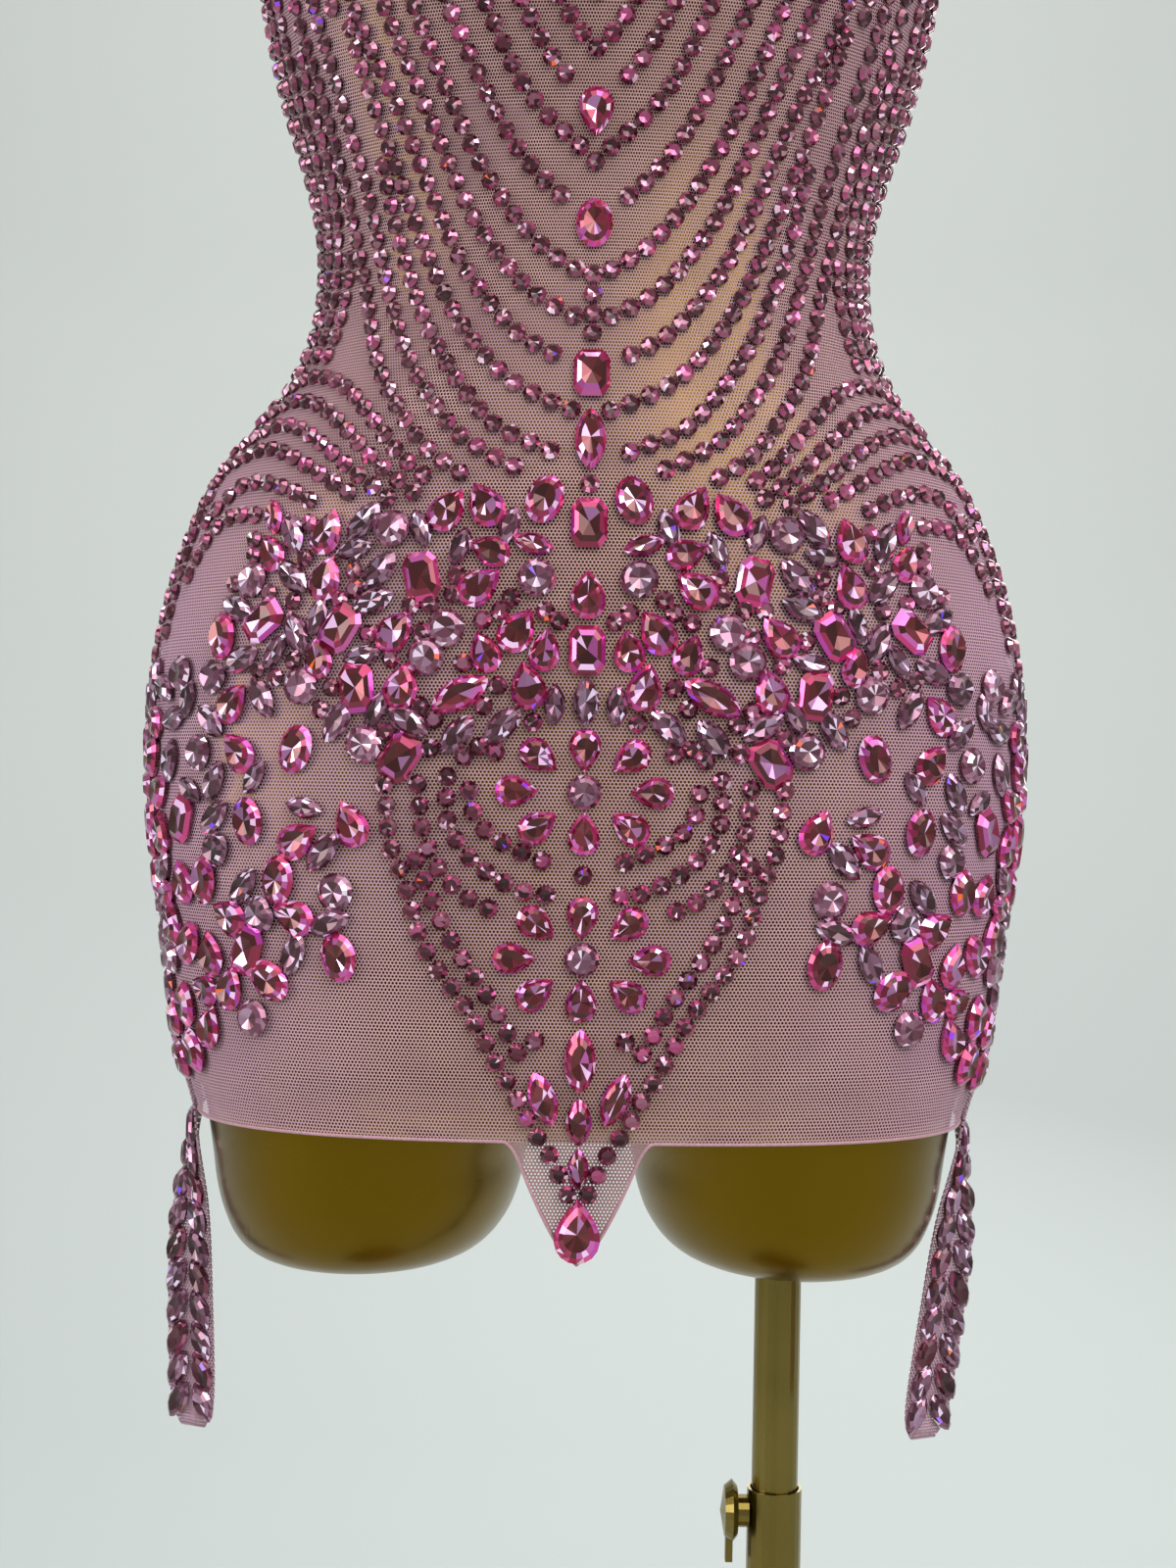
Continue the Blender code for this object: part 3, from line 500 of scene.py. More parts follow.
def makePanel(name, front, node):
    plan = clothPlan
    angles = panelAngles(front)
    shares = [i / plan["rows"] for i in range(plan["rows"] + 1)]
    points, uvs = [], []

    def addRow(row, heights):
        # The net's pattern is spread evenly along each row
        gone = [0.0]
        for before, after in zip(row, row[1:]):
            gone.append(gone[-1] + (after - before).length)
        scale = plan["flatWidths"][0 if front else 1] / gone[-1]
        points.extend(row)
        uvs.extend(((along - gone[-1] / 2) * scale, height) for along, height in zip(gone, heights))

    pointRows = 6 if front else 0
    for k in range(pointRows, 0, -1):
        level = [panelPoint(angle, 0.0, angles, front) for angle in angles]
        falls = [k / pointRows * pointFall(angle) for angle in angles]
        addRow(level, [spot.z - plan["pointDrop"] * fall for spot, fall in zip(level, falls)])
        points[-len(angles):] = [spot + hangDown(fall) for spot, fall in zip(level, falls)]
    for share in shares:
        row = [panelPoint(angle, share, angles, front) for angle in angles]
        addRow(row, [spot.z for spot in row])
    faces = gridFaces(len(points) // len(angles), len(angles))
    if front:
        # Rows under the hem exist only inside the point
        faces = [f for f in faces if len({(round(points[i].x, 6), round(points[i].z, 6)) for i in f}) >= 3]
    piece = linkMesh(name, points, faces)
    setUv(piece, uvs)
    only(piece)
    editAll(lambda: bpy.ops.mesh.remove_doubles(threshold=0.00002), bpy.ops.mesh.delete_loose)
    onFigure(piece, netCloth, node)
    piece.data.materials.append(netPoint)
    for face in piece.data.polygons:
        face.material_index = 1 if face.center.z < hemHeight else 0
    return piece


frontCloth = makePanel("frontCloth", True, "front_panel")
backCloth = makePanel("backCloth", False, "back_panel")


def makeCord(name, spots, radius, closed=False, sides=6):
    # A fine rolled edge along a line of points.
    points, rings = [], len(spots)
    for i, spot in enumerate(spots):
        before = spots[i - 1] if i or closed else spots[0]
        after = spots[(i + 1) % rings] if i + 1 < rings or closed else spots[-1]
        ahead = (after - before).normalized()
        level = ahead.cross(Vector((0.02, 0.03, 1))).normalized()
        rise = level.cross(ahead)
        for k in range(sides):
            turn = 2 * pi * k / sides
            points.append(spot + radius * (cos(turn) * level + sin(turn) * rise))
    faces = gridFaces(rings, sides, True)
    if closed:
        last = (rings - 1) * sides
        faces += [(last + k, last + (k + 1) % sides, (k + 1) % sides, k) for k in range(sides)]
    else:
        faces += [tuple(reversed(range(sides))), tuple((rings - 1) * sides + k for k in range(sides))]
    piece = linkMesh(name, points, faces)
    turnOutward(piece)
    return onFigure(piece, edgeThread)


def onEdge(angle, height):
    return figurePoint(angle, height) - clothPlan["edgeInset"] * figureNormal(angle, height)


def hemLine():
    reach = clothPlan["pointAngle"] * clothPlan["pointReach"]
    spots = [onEdge(reach + (360 - 2 * reach) * i / 260, hemHeight) for i in range(261)]
    for i in range(1, 30):
        angle = reach * (i / 15 - 1)
        spots.append(onEdge(angle, hemHeight) + hangDown(pointFall(angle)))
    return spots


radius = clothPlan["edgeRadius"]
makeCord("hemEdge", hemLine(), radius, closed=True)
topLine = [onEdge(angle, topEdge(angle)) for angle in (360 * i / 240 for i in range(240))]
makeCord("topTrim", topLine, radius * 1.5, closed=True)
seamHeights = [hemHeight + (topEdge(90) - hemHeight) * i / 120 for i in range(121)]
for side, seamName in ((90, "seamRight"), (-90, "seamLeft")):
    makeCord(seamName, [onEdge(side, h) for h in seamHeights], radius * 0.7)
print("cloth made")

# Form


formPlan = {
    "low": 0.786,  # the torso closes under this height
    "closing": ((0.767, 0.6), (0.772, 0.86)),  # height and share of its width
    "top": 1.564,
    "columns": 144,
    "rows": 190,
    "bustSlack": 0.0022,
    "slackAbove": 0.0012,  # further in above the rows of stones
    "stubLow": 0.71,
    "stubHeight": 0.13,
    "stubCurve": 1.4,  # rows lie closer at the round end
    "stubColumns": 72,
    "stubRows": 52,
}


def makeForm():
    plan = formPlan
    angles = [360 * i / plan["columns"] for i in range(plan["columns"])]
    points, faces = [], []
    rise = plan["top"] - plan["low"]
    heights = [plan["low"] + rise * i / plan["rows"] for i in range(plan["rows"] + 1)]
    shape = list(plan["closing"]) + [(h, 1.0) for h in heights]
    for height, share in shape:
        for angle in angles:
            base = max(height, plan["low"])
            slack = plan["slackAbove"] if base > lastWholeRow else 0.0
            inset = clothWall + formGap + slack
            spot = figurePoint(angle, base, plan["bustSlack"]) - inset * figureNormal(angle, base)
            points.append(Vector((spot.x * share, spot.y * share, height if share < 1 else spot.z)))
    faces += gridFaces(len(shape), len(angles), True)
    faces.append(tuple(reversed(range(len(angles)))))
    faces.append(tuple(range((len(shape) - 1) * len(angles), len(shape) * len(angles))))
    for side in (-1, 1):
        start, steps = len(points), plan["stubColumns"]
        heights = [plan["stubLow"] + plan["stubHeight"] * (i / plan["stubRows"]) ** plan["stubCurve"]
                   for i in range(plan["stubRows"] + 1)]
        for height in heights:
            middle, halfWidth, front, back = (readSmooth(stubRows, c, height) for c in (1, 2, 3, 4))
            for i in range(steps):
                turn = 2 * pi * i / steps * side
                depth = front if sin(turn) < 0 else back
                points.append(Vector((side * middle + side * halfWidth * cos(turn), depth * sin(turn), height)))
        faces += [tuple(start + i for i in face) for face in gridFaces(len(heights), steps, True)]
        faces.append(tuple(start + i for i in reversed(range(steps))))
        faces.append(tuple(start + (len(heights) - 1) * steps + i for i in range(steps)))
    piece = linkMesh("formShell", points, faces)
    turnOutward(piece)
    bpy.ops.object.shade_smooth_by_angle(angle=radians(50))
    return onFigure(piece, goldForm, "dress_form")


formShell = makeForm()
print("form made")

# Stones: each cut is modelled once, lying on its back

cutPlan = {
    # sides, outline, half width, half height, rise
    "round": (12, "ellipse", 0.0035, 0.0035, 0.0026),
    "rivoli": (16, "ellipse", 0.007, 0.007, 0.004),
    "oval": (16, "ellipse", 0.0068, 0.0092, 0.0042),
    "pear": (16, "pear", 0.0066, 0.009, 0.0042),
    "octagon": (8, "octagon", 0.0066, 0.009, 0.004),
    "navette": (16, "navette", 0.0048, 0.0088, 0.0036),
    "long_navette": (16, "navette", 0.0058, 0.0118, 0.0042),
    "tail_navette": (12, "navette", 0.004, 0.0076, 0.0032),
    "heart": (16, "heart", 0.007, 0.0072, 0.004),
    "point_pear": (20, "pear", 0.0085, 0.012, 0.005),
    "petal": (16, "pear", 0.0058, 0.0079, 0.0037),
}


# How far each ring of facets rises, as a share of the whole rise, and how much it grows or shrinks
ringSteps = {"small": ((0.4, 1.064), (0.6, 0.6)), "large": ((0.34, 1.064), (0.36, 0.8), (0.3, 0.72))}
tableDish = 0.22  # dip of the middle of the top facets, a share of the rise
crownSpan = (0.2, 0.75)  # heights between which the outer ring of facets lies, as shares of the rise
midStart = 0.42  # the inner ring lies above this height


def outlinePoint(family, turn):
    x, y = cos(turn), sin(turn)
    if family == "pear":
        middle = -0.27  # of its round end
        width = (max(0.0, 1 - ((y - middle) / 0.73) ** 2) ** 0.5 if y < middle
                 else 1 - ((y - middle) / (1 - middle)) ** 1.9)
        return signedPower(x, 0.001) * width if abs(x) > 1e-6 else 0.0, y
    if family == "navette":
        return signedPower(x, 1.45), y
    if family == "octagon":
        corners = ((1, 0.62), (0.6, 1), (-0.6, 1), (-1, 0.62), (-1, -0.62), (-0.6, -1), (0.6, -1), (1, -0.62))
        return corners[int(round((turn - pi / 8) / (pi / 4))) % 8]
    if family == "heart":
        notch = 0.16 * exp(-((x / 0.28) ** 2)) if y > 0 else 0.0
        return x * (1.0 - 0.35 * max(0.0, -y) ** 2), y * (0.92 if y > 0 else 1.0) - notch
    return x, y


def modelCut(name):
    sides, family, wide, tall, rise = cutPlan[name]
    bpy.ops.object.select_all(action="DESELECT")
    bpy.ops.mesh.primitive_circle_add(vertices=sides, radius=1.0, fill_type="NGON")
    stone = bpy.context.active_object
    for i, vert in enumerate(stone.data.vertices):
        x, y = outlinePoint(family, 2 * pi * (i + (0.5 if sides == 8 else 0.0)) / sides)
        vert.co = (x * wide * 0.94, y * tall * 0.94, 0.0)
    small = name == "round"

    def raiseRings():
        for lift, scale in ringSteps["small" if small else "large"]:
            bpy.ops.mesh.extrude_region_move(TRANSFORM_OT_translate={"value": (0, 0, lift * rise)})
            bpy.ops.transform.resize(value=(scale, scale, 1.0))

    editAll(raiseRings, bpy.ops.mesh.poke)
    top = max(v.co.z for v in stone.data.vertices)
    middle = min((v for v in stone.data.vertices if v.co.z > top - 1e-6), key=lambda v: hypot(v.co.x, v.co.y))
    middle.co.z = top - tableDish * rise
    editAll(bpy.ops.mesh.select_non_manifold, bpy.ops.mesh.edge_face_add, select="DESELECT")
    turnOutward()
    if sides > 8 and not small:
        # The outer ring is cut into small three-sided facets
        editAll(select="DESELECT")
        for face in stone.data.polygons:
            heights = [stone.data.vertices[i].co.z for i in face.vertices]
            low, high = (share * rise for share in crownSpan)
            face.select = len(heights) == 4 and min(heights) > low and max(heights) < high
        bpy.ops.object.mode_set(mode="EDIT")
        bpy.ops.mesh.quads_convert_to_tris(quad_method="FIXED")
        bpy.ops.object.mode_set(mode="OBJECT")
    mesh = stone.data
    points = np.array([v.co for v in mesh.vertices])
    faces = [tuple(p.vertices) for p in mesh.polygons]
    centres = np.array([p.center for p in mesh.polygons])
    bpy.data.objects.remove(stone, do_unlink=True)
    levels = []
    for face in faces:
        heights = points[list(face), 2]
        if heights.max() < 1e-6:
            levels.append(0)
        elif heights.min() < 1e-6:
            levels.append(1)
        elif heights.max() < crownSpan[1] * rise and sides > 8 and not small:
            levels.append(2)
        elif len(face) == 3:
            levels.append(4)
        else:
            levels.append(2 if heights.min() < midStart * rise else 3)
    # Blender's own order of faces changes from run to run, so they are put in order round the stone
    turns = [round(float(np.arctan2(c[1], c[0]) + 0.01) % (2 * pi), 4) for c in centres]
    order = sorted(range(len(faces)), key=lambda i: (levels[i], turns[i], round(hypot(*centres[i][:2]), 6)))
    return {"points": points, "faces": [faces[i] for i in order], "levels": [levels[i] for i in order]}


cuts = {name: modelCut(name) for name in cutPlan}
print("cuts modelled", len(cuts))

# Facet colours of each kind of stone, drawn from by chance: side, outer ring, inner ring and table. They mix the
# stone's own colour with painted reflections of its inner facets, dark and bright, and hold a painted glint colour
pinkLook = {
    "side": [(150, 50, 90), (104, 34, 54), (205, 96, 150)],
    "crown": [(232, 62, 140), (204, 44, 104), (160, 36, 72), (240, 112, 190), (248, 80, 156), (222, 70, 190)],
    "mid": [(186, 46, 96), (124, 34, 52), (92, 30, 34), (150, 40, 70), (230, 110, 200)],
    "table": [(106, 38, 40), (122, 44, 46), (82, 30, 28), (94, 34, 32), (140, 56, 66), (112, 52, 50),
              (206, 140, 196)],
    "paintedGlint": [(252, 206, 250)],
}
lilacLook = {
    "side": [(112, 66, 84), (84, 48, 60), (160, 108, 138)],
    "crown": [(172, 108, 140), (134, 74, 100), (212, 158, 190), (104, 56, 74)],
    "mid": [(146, 88, 114), (108, 62, 80), (190, 136, 166), (88, 48, 58)],
    "table": [(118, 72, 88), (92, 54, 64), (160, 106, 134), (78, 44, 50), (206, 166, 200)],
    "paintedGlint": [(240, 218, 246)],
}
rivoliLook = {
    "side": [(140, 80, 100), (104, 56, 74)],
    "crown": [(200, 122, 158), (168, 90, 122), (220, 158, 190), (140, 72, 96)],
    "mid": [(178, 108, 138), (206, 144, 176), (148, 84, 108)],
    "table": [(150, 90, 110), (188, 126, 154), (120, 68, 80), (222, 172, 204)],
    "paintedGlint": [(250, 226, 248)],
}
roseLook = {
    "side": [(112, 58, 74), (80, 38, 50), (164, 100, 120)],
    "crown": [(148, 74, 98), (106, 46, 64), (186, 112, 138), (86, 36, 50), (208, 92, 144)],
    "mid": [(104, 46, 62), (74, 32, 42)],
    "table": [(82, 36, 46), (112, 52, 66), (64, 28, 34), (96, 44, 58), (186, 120, 150)],
    "paintedGlint": [(246, 206, 230)],
}
gemLooks = {}
for look, shades in (("pink", pinkLook), ("lilac", lilacLook), ("rivoli", rivoliLook), ("rose", roseLook)):
    gemLooks[look] = {part: [linear(*tone) for tone in tones] for part, tones in shades.items()}
depths = {"pink": 0.92, "lilac": 0.84, "rivoli": 0.7, "rose": 0.95}  # how light each kind is as a whole
facetToneAndPaintedGlintPlan = {
    "share": {"pink": 0.075, "lilac": 0.06, "rivoli": 0.07, "rose": 0.05},  # of the facets that are painted glints
    "roseTable": 0.4,  # times that on the tops of the small round stones
    # glow of the painted glints
    "paintedGlintGlow": 0.3,
    # share, glow and colours of facets painted as glowing coloured fire
    "paintedFireShare": 0.006,
    "paintedFireGlow": 0.8,
    "paintedFireTints": (linear(255, 120, 40), linear(120, 70, 255), linear(255, 235, 250)),
    "gloom": (0.72, 1.12),  # darkest and lightest stone
    "tableSplit": 0.45,  # chance that the next wedge of the top is another facet
    "roseSplit": 0.13,
}


def joinStones(name, stones):
    # Stones are (cut, look, place, facing, turn, scale); all copies go into one mesh.
    plan = facetToneAndPaintedGlintPlan
    draw = np.random.default_rng(len(stones) + len(name))
    allPoints, allFaces, allTints, allPaintedGlows = [], [], [], []
    start = 0
    for cut, look, place, facing, turn, scale in stones:
        shape = cuts[cut]
        facing = facing.normalized()
        across = upward.cross(facing).normalized()
        upright = facing.cross(across)
        spin = radians(turn)
        sideways = across * cos(spin) + upright * sin(spin)
        ahead = upright * cos(spin) - across * sin(spin)
        basis = np.array([sideways, ahead, facing])
        points = shape["points"] * scale @ basis + np.array(place)
        allPoints.append(points)
        colours = gemLooks[look]
        gloom = draw.uniform(*plan["gloom"]) * depths[look]
        split = plan["roseSplit" if look == "rose" else "tableSplit"]
        held = None
        for face, level in zip(shape["faces"], shape["levels"]):
            allFaces.append([start + i for i in face])
            options = colours[("side", "side", "crown", "mid", "table")[level]]
            # Neighbouring wedges of the table are one facet
            if level < 4 or held is None or draw.random() < split:
                held = np.array(options[draw.integers(len(options))]) * gloom
            tint = held
            paintedGlow = np.zeros(3)
            paintedGlint = plan["share"][look] * (plan["roseTable"] if look == "rose" and level == 4 else 1.0)
            # A few facets are painted glints, nearly white and glowing, and a few others glow as painted coloured
            # fire
            if level >= 2 and draw.random() < paintedGlint:
                tint = np.array(colours["paintedGlint"][0])
                paintedGlow = plan["paintedGlintGlow"] * tint
            elif level >= 2 and draw.random() < plan["paintedFireShare"]:
                paintedGlow = plan["paintedFireGlow"] * np.array(plan["paintedFireTints"][draw.integers(len(plan["paintedFireTints"]))])
            allTints.append((len(face), tint))
            allPaintedGlows.append((len(face), paintedGlow))
        start += len(points)
    piece = linkMesh(name, np.concatenate(allPoints), allFaces, smooth=False)
    for attribute, values in (("gemToneAndPaintedReflection", allTints), ("gemPaintedGlow", allPaintedGlows)):
        layer = piece.data.color_attributes.new(attribute, "FLOAT_COLOR", "CORNER")
        flat = np.concatenate([np.tile([*np.clip(t, 0, 1), 1.0], count) for count, t in values])
        layer.data.foreach_set("color", flat.astype(np.float32))
    print(name, len(stones), "stones", len(allFaces), "faces")
    return onFigure(piece, stonePaintedReflectionsAndGlints)


# Where the stones lie

upward = Vector((0, 0, 1))
clothLift = 0.0001
depsgraph = bpy.context.evaluated_depsgraph_get()
frontTree = BVHTree.FromObject(frontCloth, depsgraph)
backTree = BVHTree.FromObject(backCloth, depsgraph)


def photoRay(px, py):
    view = photoView
    way = Vector((px - view["imageSize"][0] / 2, view["imageSize"][1] / 2 - py, -view["focalPixels"]))
    return camera.matrix_world.translation, (camera.matrix_world.to_3x3() @ way).normalized()


def fromMiddle(row):
    # Steps out from the middle line, in the photograph's pixels, as places in it.
    return [(photoView["middleTop"] - photoView["middleLean"] * py - out, py) for out, py in row]


def seatAt(angle, height):
    return figurePoint(angle, height), figureNormal(angle, height)


def stone(cut, look, place, facing, turn=0, scale=1.0, lift=clothLift):
    return cut, look, place + lift * facing, facing, turn, scale


def smoothPath(points, count=120):
    # An even curve through given points.
    points = [np.array(p, dtype=float) for p in points]
    padded = [2 * points[0] - points[1]] + points + [2 * points[-1] - points[-2]]
    path, steps = [], count // (len(points) - 1)
    for a, b, c, d in zip(padded, padded[1:], padded[2:], padded[3:]):
        for k in range(steps):
            t = k / steps
            square, cube = 2 * a - 5 * b + 4 * c - d, 3 * b - a - 3 * c + d
            path.append(0.5 * (2 * b + (c - a) * t + square * t**2 + cube * t**3))
    path.append(points[-1])
    return [tuple(p) for p in path]


# Guide rows of the swags, from the bottom up: steps out from the middle line and heights, in the photograph's pixels
swagGuides = {
    "top": ((0, 49), (26, 20), (60, -45), (95, -120), (125, -210), (150, -330), (165, -470)),
    "second": ((0, 164), (54, 114), (84, 71), (107, 21), (150, -75), (190, -200), (220, -340), (235, -480)),
    "fourth": ((0, 286), (54, 251), (100, 195), (134, 134), (183, 19), (222, -100), (252, -240), (270, -400)),
    "sixth": ((0, 378), (70, 345), (117, 294), (151, 235), (202, 111), (249, 9), (285, -120), (310, -270),
              (325, -400)),
    "eighth": ((0, 476), (68, 449), (109, 424), (161, 349), (197, 252), (217, 171), (259, 46), (300, -100),
               (330, -300)),
    "tenth": ((76, 514), (142, 477), (178, 445), (216, 377), (232, 290), (251, 204), (276, 111), (310, 0),
              (345, -160)),
}
swagStep = 58  # between the rows above the first guide
# Arches over the hips: from the lower inner end up to the side, X and Y in the photograph's pixels
archGuides = {
    "upper": ((484, 520), (447, 496), (410, 466), (384, 432), (362, 404), (341, 388), (318, 387), (297, 400),
              (276, 418)),
    "lower": ((400, 541), (367, 511), (328, 485), (295, 465), (275, 459), (255, 466), (232, 480)),
    "last": ((352, 570), (331, 556), (315, 544), (295, 533), (256, 526), (229, 533), (208, 560), (194, 588)),
}
archOrder = (("upper", "lower", 3), ("lower", "last", 2))
stonePitch = 0.0079
widestGap = 0.03  # a longer step is a break in the row


def blendRows(first, second, share):
    a, b = (np.array(smoothPath(row, 60)) for row in (first, second))
    places = ((i * (len(a) - 1) // 40, i * (len(b) - 1) // 40) for i in range(41))
    return [tuple((1 - share) * a[i] + share * b[k]) for i, k in places]


def castRow(path):
    # Points of the left front for a path in the photograph's pixels.
    spots = []
    for px, py in path:
        origin, way = photoRay(px, py)
        hit = frontTree.ray_cast(origin, way)[0]
        if hit is not None:
            spots.append(hit)
    return spots


def strungAlong(spots):
    # Places at even steps along a line of points, starting anew after a gap.
    placed, gone = [], 0.0
    for a, b in zip(spots, spots[1:]):
        step = (b - a).length
        if step > widestGap:
            gone = 0.0
            continue
        while gone <= step and step > 0:
            placed.append(a.lerp(b, gone / step))
            gone += stonePitch
        gone -= step
    return placed


def frontRows():
    guides = list(swagGuides.values())
    rows = [blendRows(low, high, share) for low, high in zip(guides, guides[1:]) for share in (0.0, 0.5)]
    rows.append(smoothPath(guides[-1]))
    rows += [smoothPath([(out, py - swagStep * k) for out, py in guides[0]]) for k in range(1, 9)]
    paths = [fromMiddle(row) for row in rows]
    for low, high, count in archOrder:
        paths += [blendRows(archGuides[low], archGuides[high], i / count) for i in range(count)]
    return paths + [smoothPath(archGuides["last"])]


class Field:
    # Keeps stones from lying on each other.
    def __init__(self):
        self.taken = {}
        self.cell = 0.02

    def key(self, p):
        return tuple(int(c // self.cell) for c in p)

    def free(self, p, radius):
        around = product(*((c - 1, c, c + 1) for c in self.key(p)))
        return all((p - q).length >= radius + r for key in around for q, r in self.taken.get(key, ()))

    def take(self, p, radius):
        self.taken.setdefault(self.key(p), []).append((p.copy(), radius))

    def takeAll(self, room):
        for part in room:
            self.take(*part)


field = Field()

middleStones = (
    ("pear", "pink", 1.153, 180), ("oval", "pink", 1.112, 0), ("octagon", "pink", 1.055, 0),
    ("long_navette", "pink", 1.03, 0), ("octagon", "pink", 0.999, 0), ("pear", "pink", 0.973, 0),
    ("octagon", "pink", 0.953, 0), ("navette", "lilac", 0.9345, 0), ("long_navette", "pink", 0.8045, 0),
    ("navette", "pink", 0.782, 0), ("tail_navette", "pink", 0.7645, 0), ("point_pear", "pink", 0.742, 0),
)
slantedPair = (1.7, 0.7905, -20, 0.88)  # beside the middle line: angle, height, turn, scale
middleRounds = (1.135, 1.093, 1.0855, 1.078, 1.0705, 1.0135, 0.872)
flowerPlan = {
    "heights": (0.902, 0.8415),
    "heartRoom": 0.0064,
    "petals": (  # across and up from the flower's middle
        (0.0, 0.015), (-0.0165, 0.0125), (-0.0245, 0.0), (-0.0165, -0.0125),
        (0.0, -0.015), (0.0165, -0.0125), (0.0245, 0.0), (0.0165, 0.0125),
    ),
}
# first height, last height, first angle, last angle, count, cuts
bandRows = (
    (1.0075, 0.996, 4.6, 40.0, 7, ("oval", "pear", "pear", "rivoli", "navette", "pear", "navette")),
    (0.979, 0.979, 5.0, 46.0, 7, ("rivoli", "pear", "octagon", "navette", "pear", "navette", "rivoli")),
    (0.96, 0.958, 6.6, 50.0, 7, ("pear", "rivoli", "pear", "octagon", "navette", "octagon", "oval")),
    (0.94, 0.939, 5.2, 41.0, 6, ("pear", "long_navette", "pear", "octagon", "rivoli", "navette")),
    (0.922, 0.918, 12.5, 24.0, 3, ("navette", "octagon", "rivoli")),
    (0.916, 0.912, 34.0, 84.0, 6, ("oval", "pear", "rivoli", "navette", "oval", "pear")),
    (0.889, 0.889, 25.0, 85.0, 8, ("pear", "pear", "oval", "navette", "octagon", "pear", "oval", "navette")),
    (0.864, 0.866, 27.0, 85.0, 8, ("rivoli", "oval", "navette", "oval", "pear", "navette", "pear", "oval")),
    (0.84, 0.843, 26.0, 85.0, 8, ("oval", "navette", "octagon", "pear", "oval", "pear", "navette", "pear")),
    (0.816, 0.82, 42.0, 85.0, 5, ("rivoli", "pear", "oval", "navette", "pear")),
)
backBands = {"shift": 9.0, "end": 116.0, "count": 2}
bandTurns = (18, -24, 34, -12, 40)
strayPlan = (1.6, 0.007, 25)  # how far a stone between the raised ones may lie off: degrees, metres, degrees turned
cutLooks = {"oval": "pink", "pear": "pink", "octagon": "pink", "long_navette": "pink", "navette": "lilac",
            "rivoli": "rivoli", "heart": "lilac"}
# Outlines of the thickly set zones on the right front: height, first angle, last angle
scatterZones = (
    ("mosaic", ((1.0, 14, 40), (0.985, 9, 46), (0.965, 3, 50), (0.95, 3, 50), (0.932, 3, 30), (0.916, 10, 26)),
     (("navette", "lilac", 0.32), ("pear", "pink", 0.14), ("heart", "lilac", 0.12), ("petal", "pink", 0.2),
      ("rivoli", "rivoli", 0.08), ("tail_navette", "lilac", 0.14)), 5000),
    ("flank", ((0.945, 40, 70), (0.925, 38, 112), (0.905, 32, 114), (0.885, 25, 114), (0.862, 27, 114),
               (0.842, 27, 112), (0.826, 38, 108), (0.808, 54, 104), (0.795, 66, 100)),
     (("navette", "lilac", 0.2), ("pear", "pink", 0.22), ("oval", "pink", 0.18), ("heart", "lilac", 0.06),
      ("petal", "pink", 0.16), ("tail_navette", "lilac", 0.1), ("rivoli", "rivoli", 0.08)), 2200),
    ("fillers", ((1.004, 8, 46), (0.985, 4, 50), (0.965, 2.4, 52), (0.95, 2.4, 52), (0.932, 2.4, 32),
                 (0.914, 8, 26)),
     (("tail_navette", "lilac", 0.35), ("round", "rose", 0.45), ("tail_navette", "pink", 0.2)), 3000),
)


# Room that a stone keeps free, as three round places along it: how far apart and how wide, as shares of its size
capsulePlan = {"reach": 0.75, "width": 0.86}


def capsule(cut, spot, turn, scale=1.0):
    wide, tall = cutPlan[cut][2:4]
    reach = (tall - wide) * capsulePlan["reach"] * scale
    lean = Vector((-sin(radians(turn)), 0, cos(radians(turn))))
    return [(spot + way * reach * lean, wide * scale * capsulePlan["width"]) for way in (-1, 0, 1)]


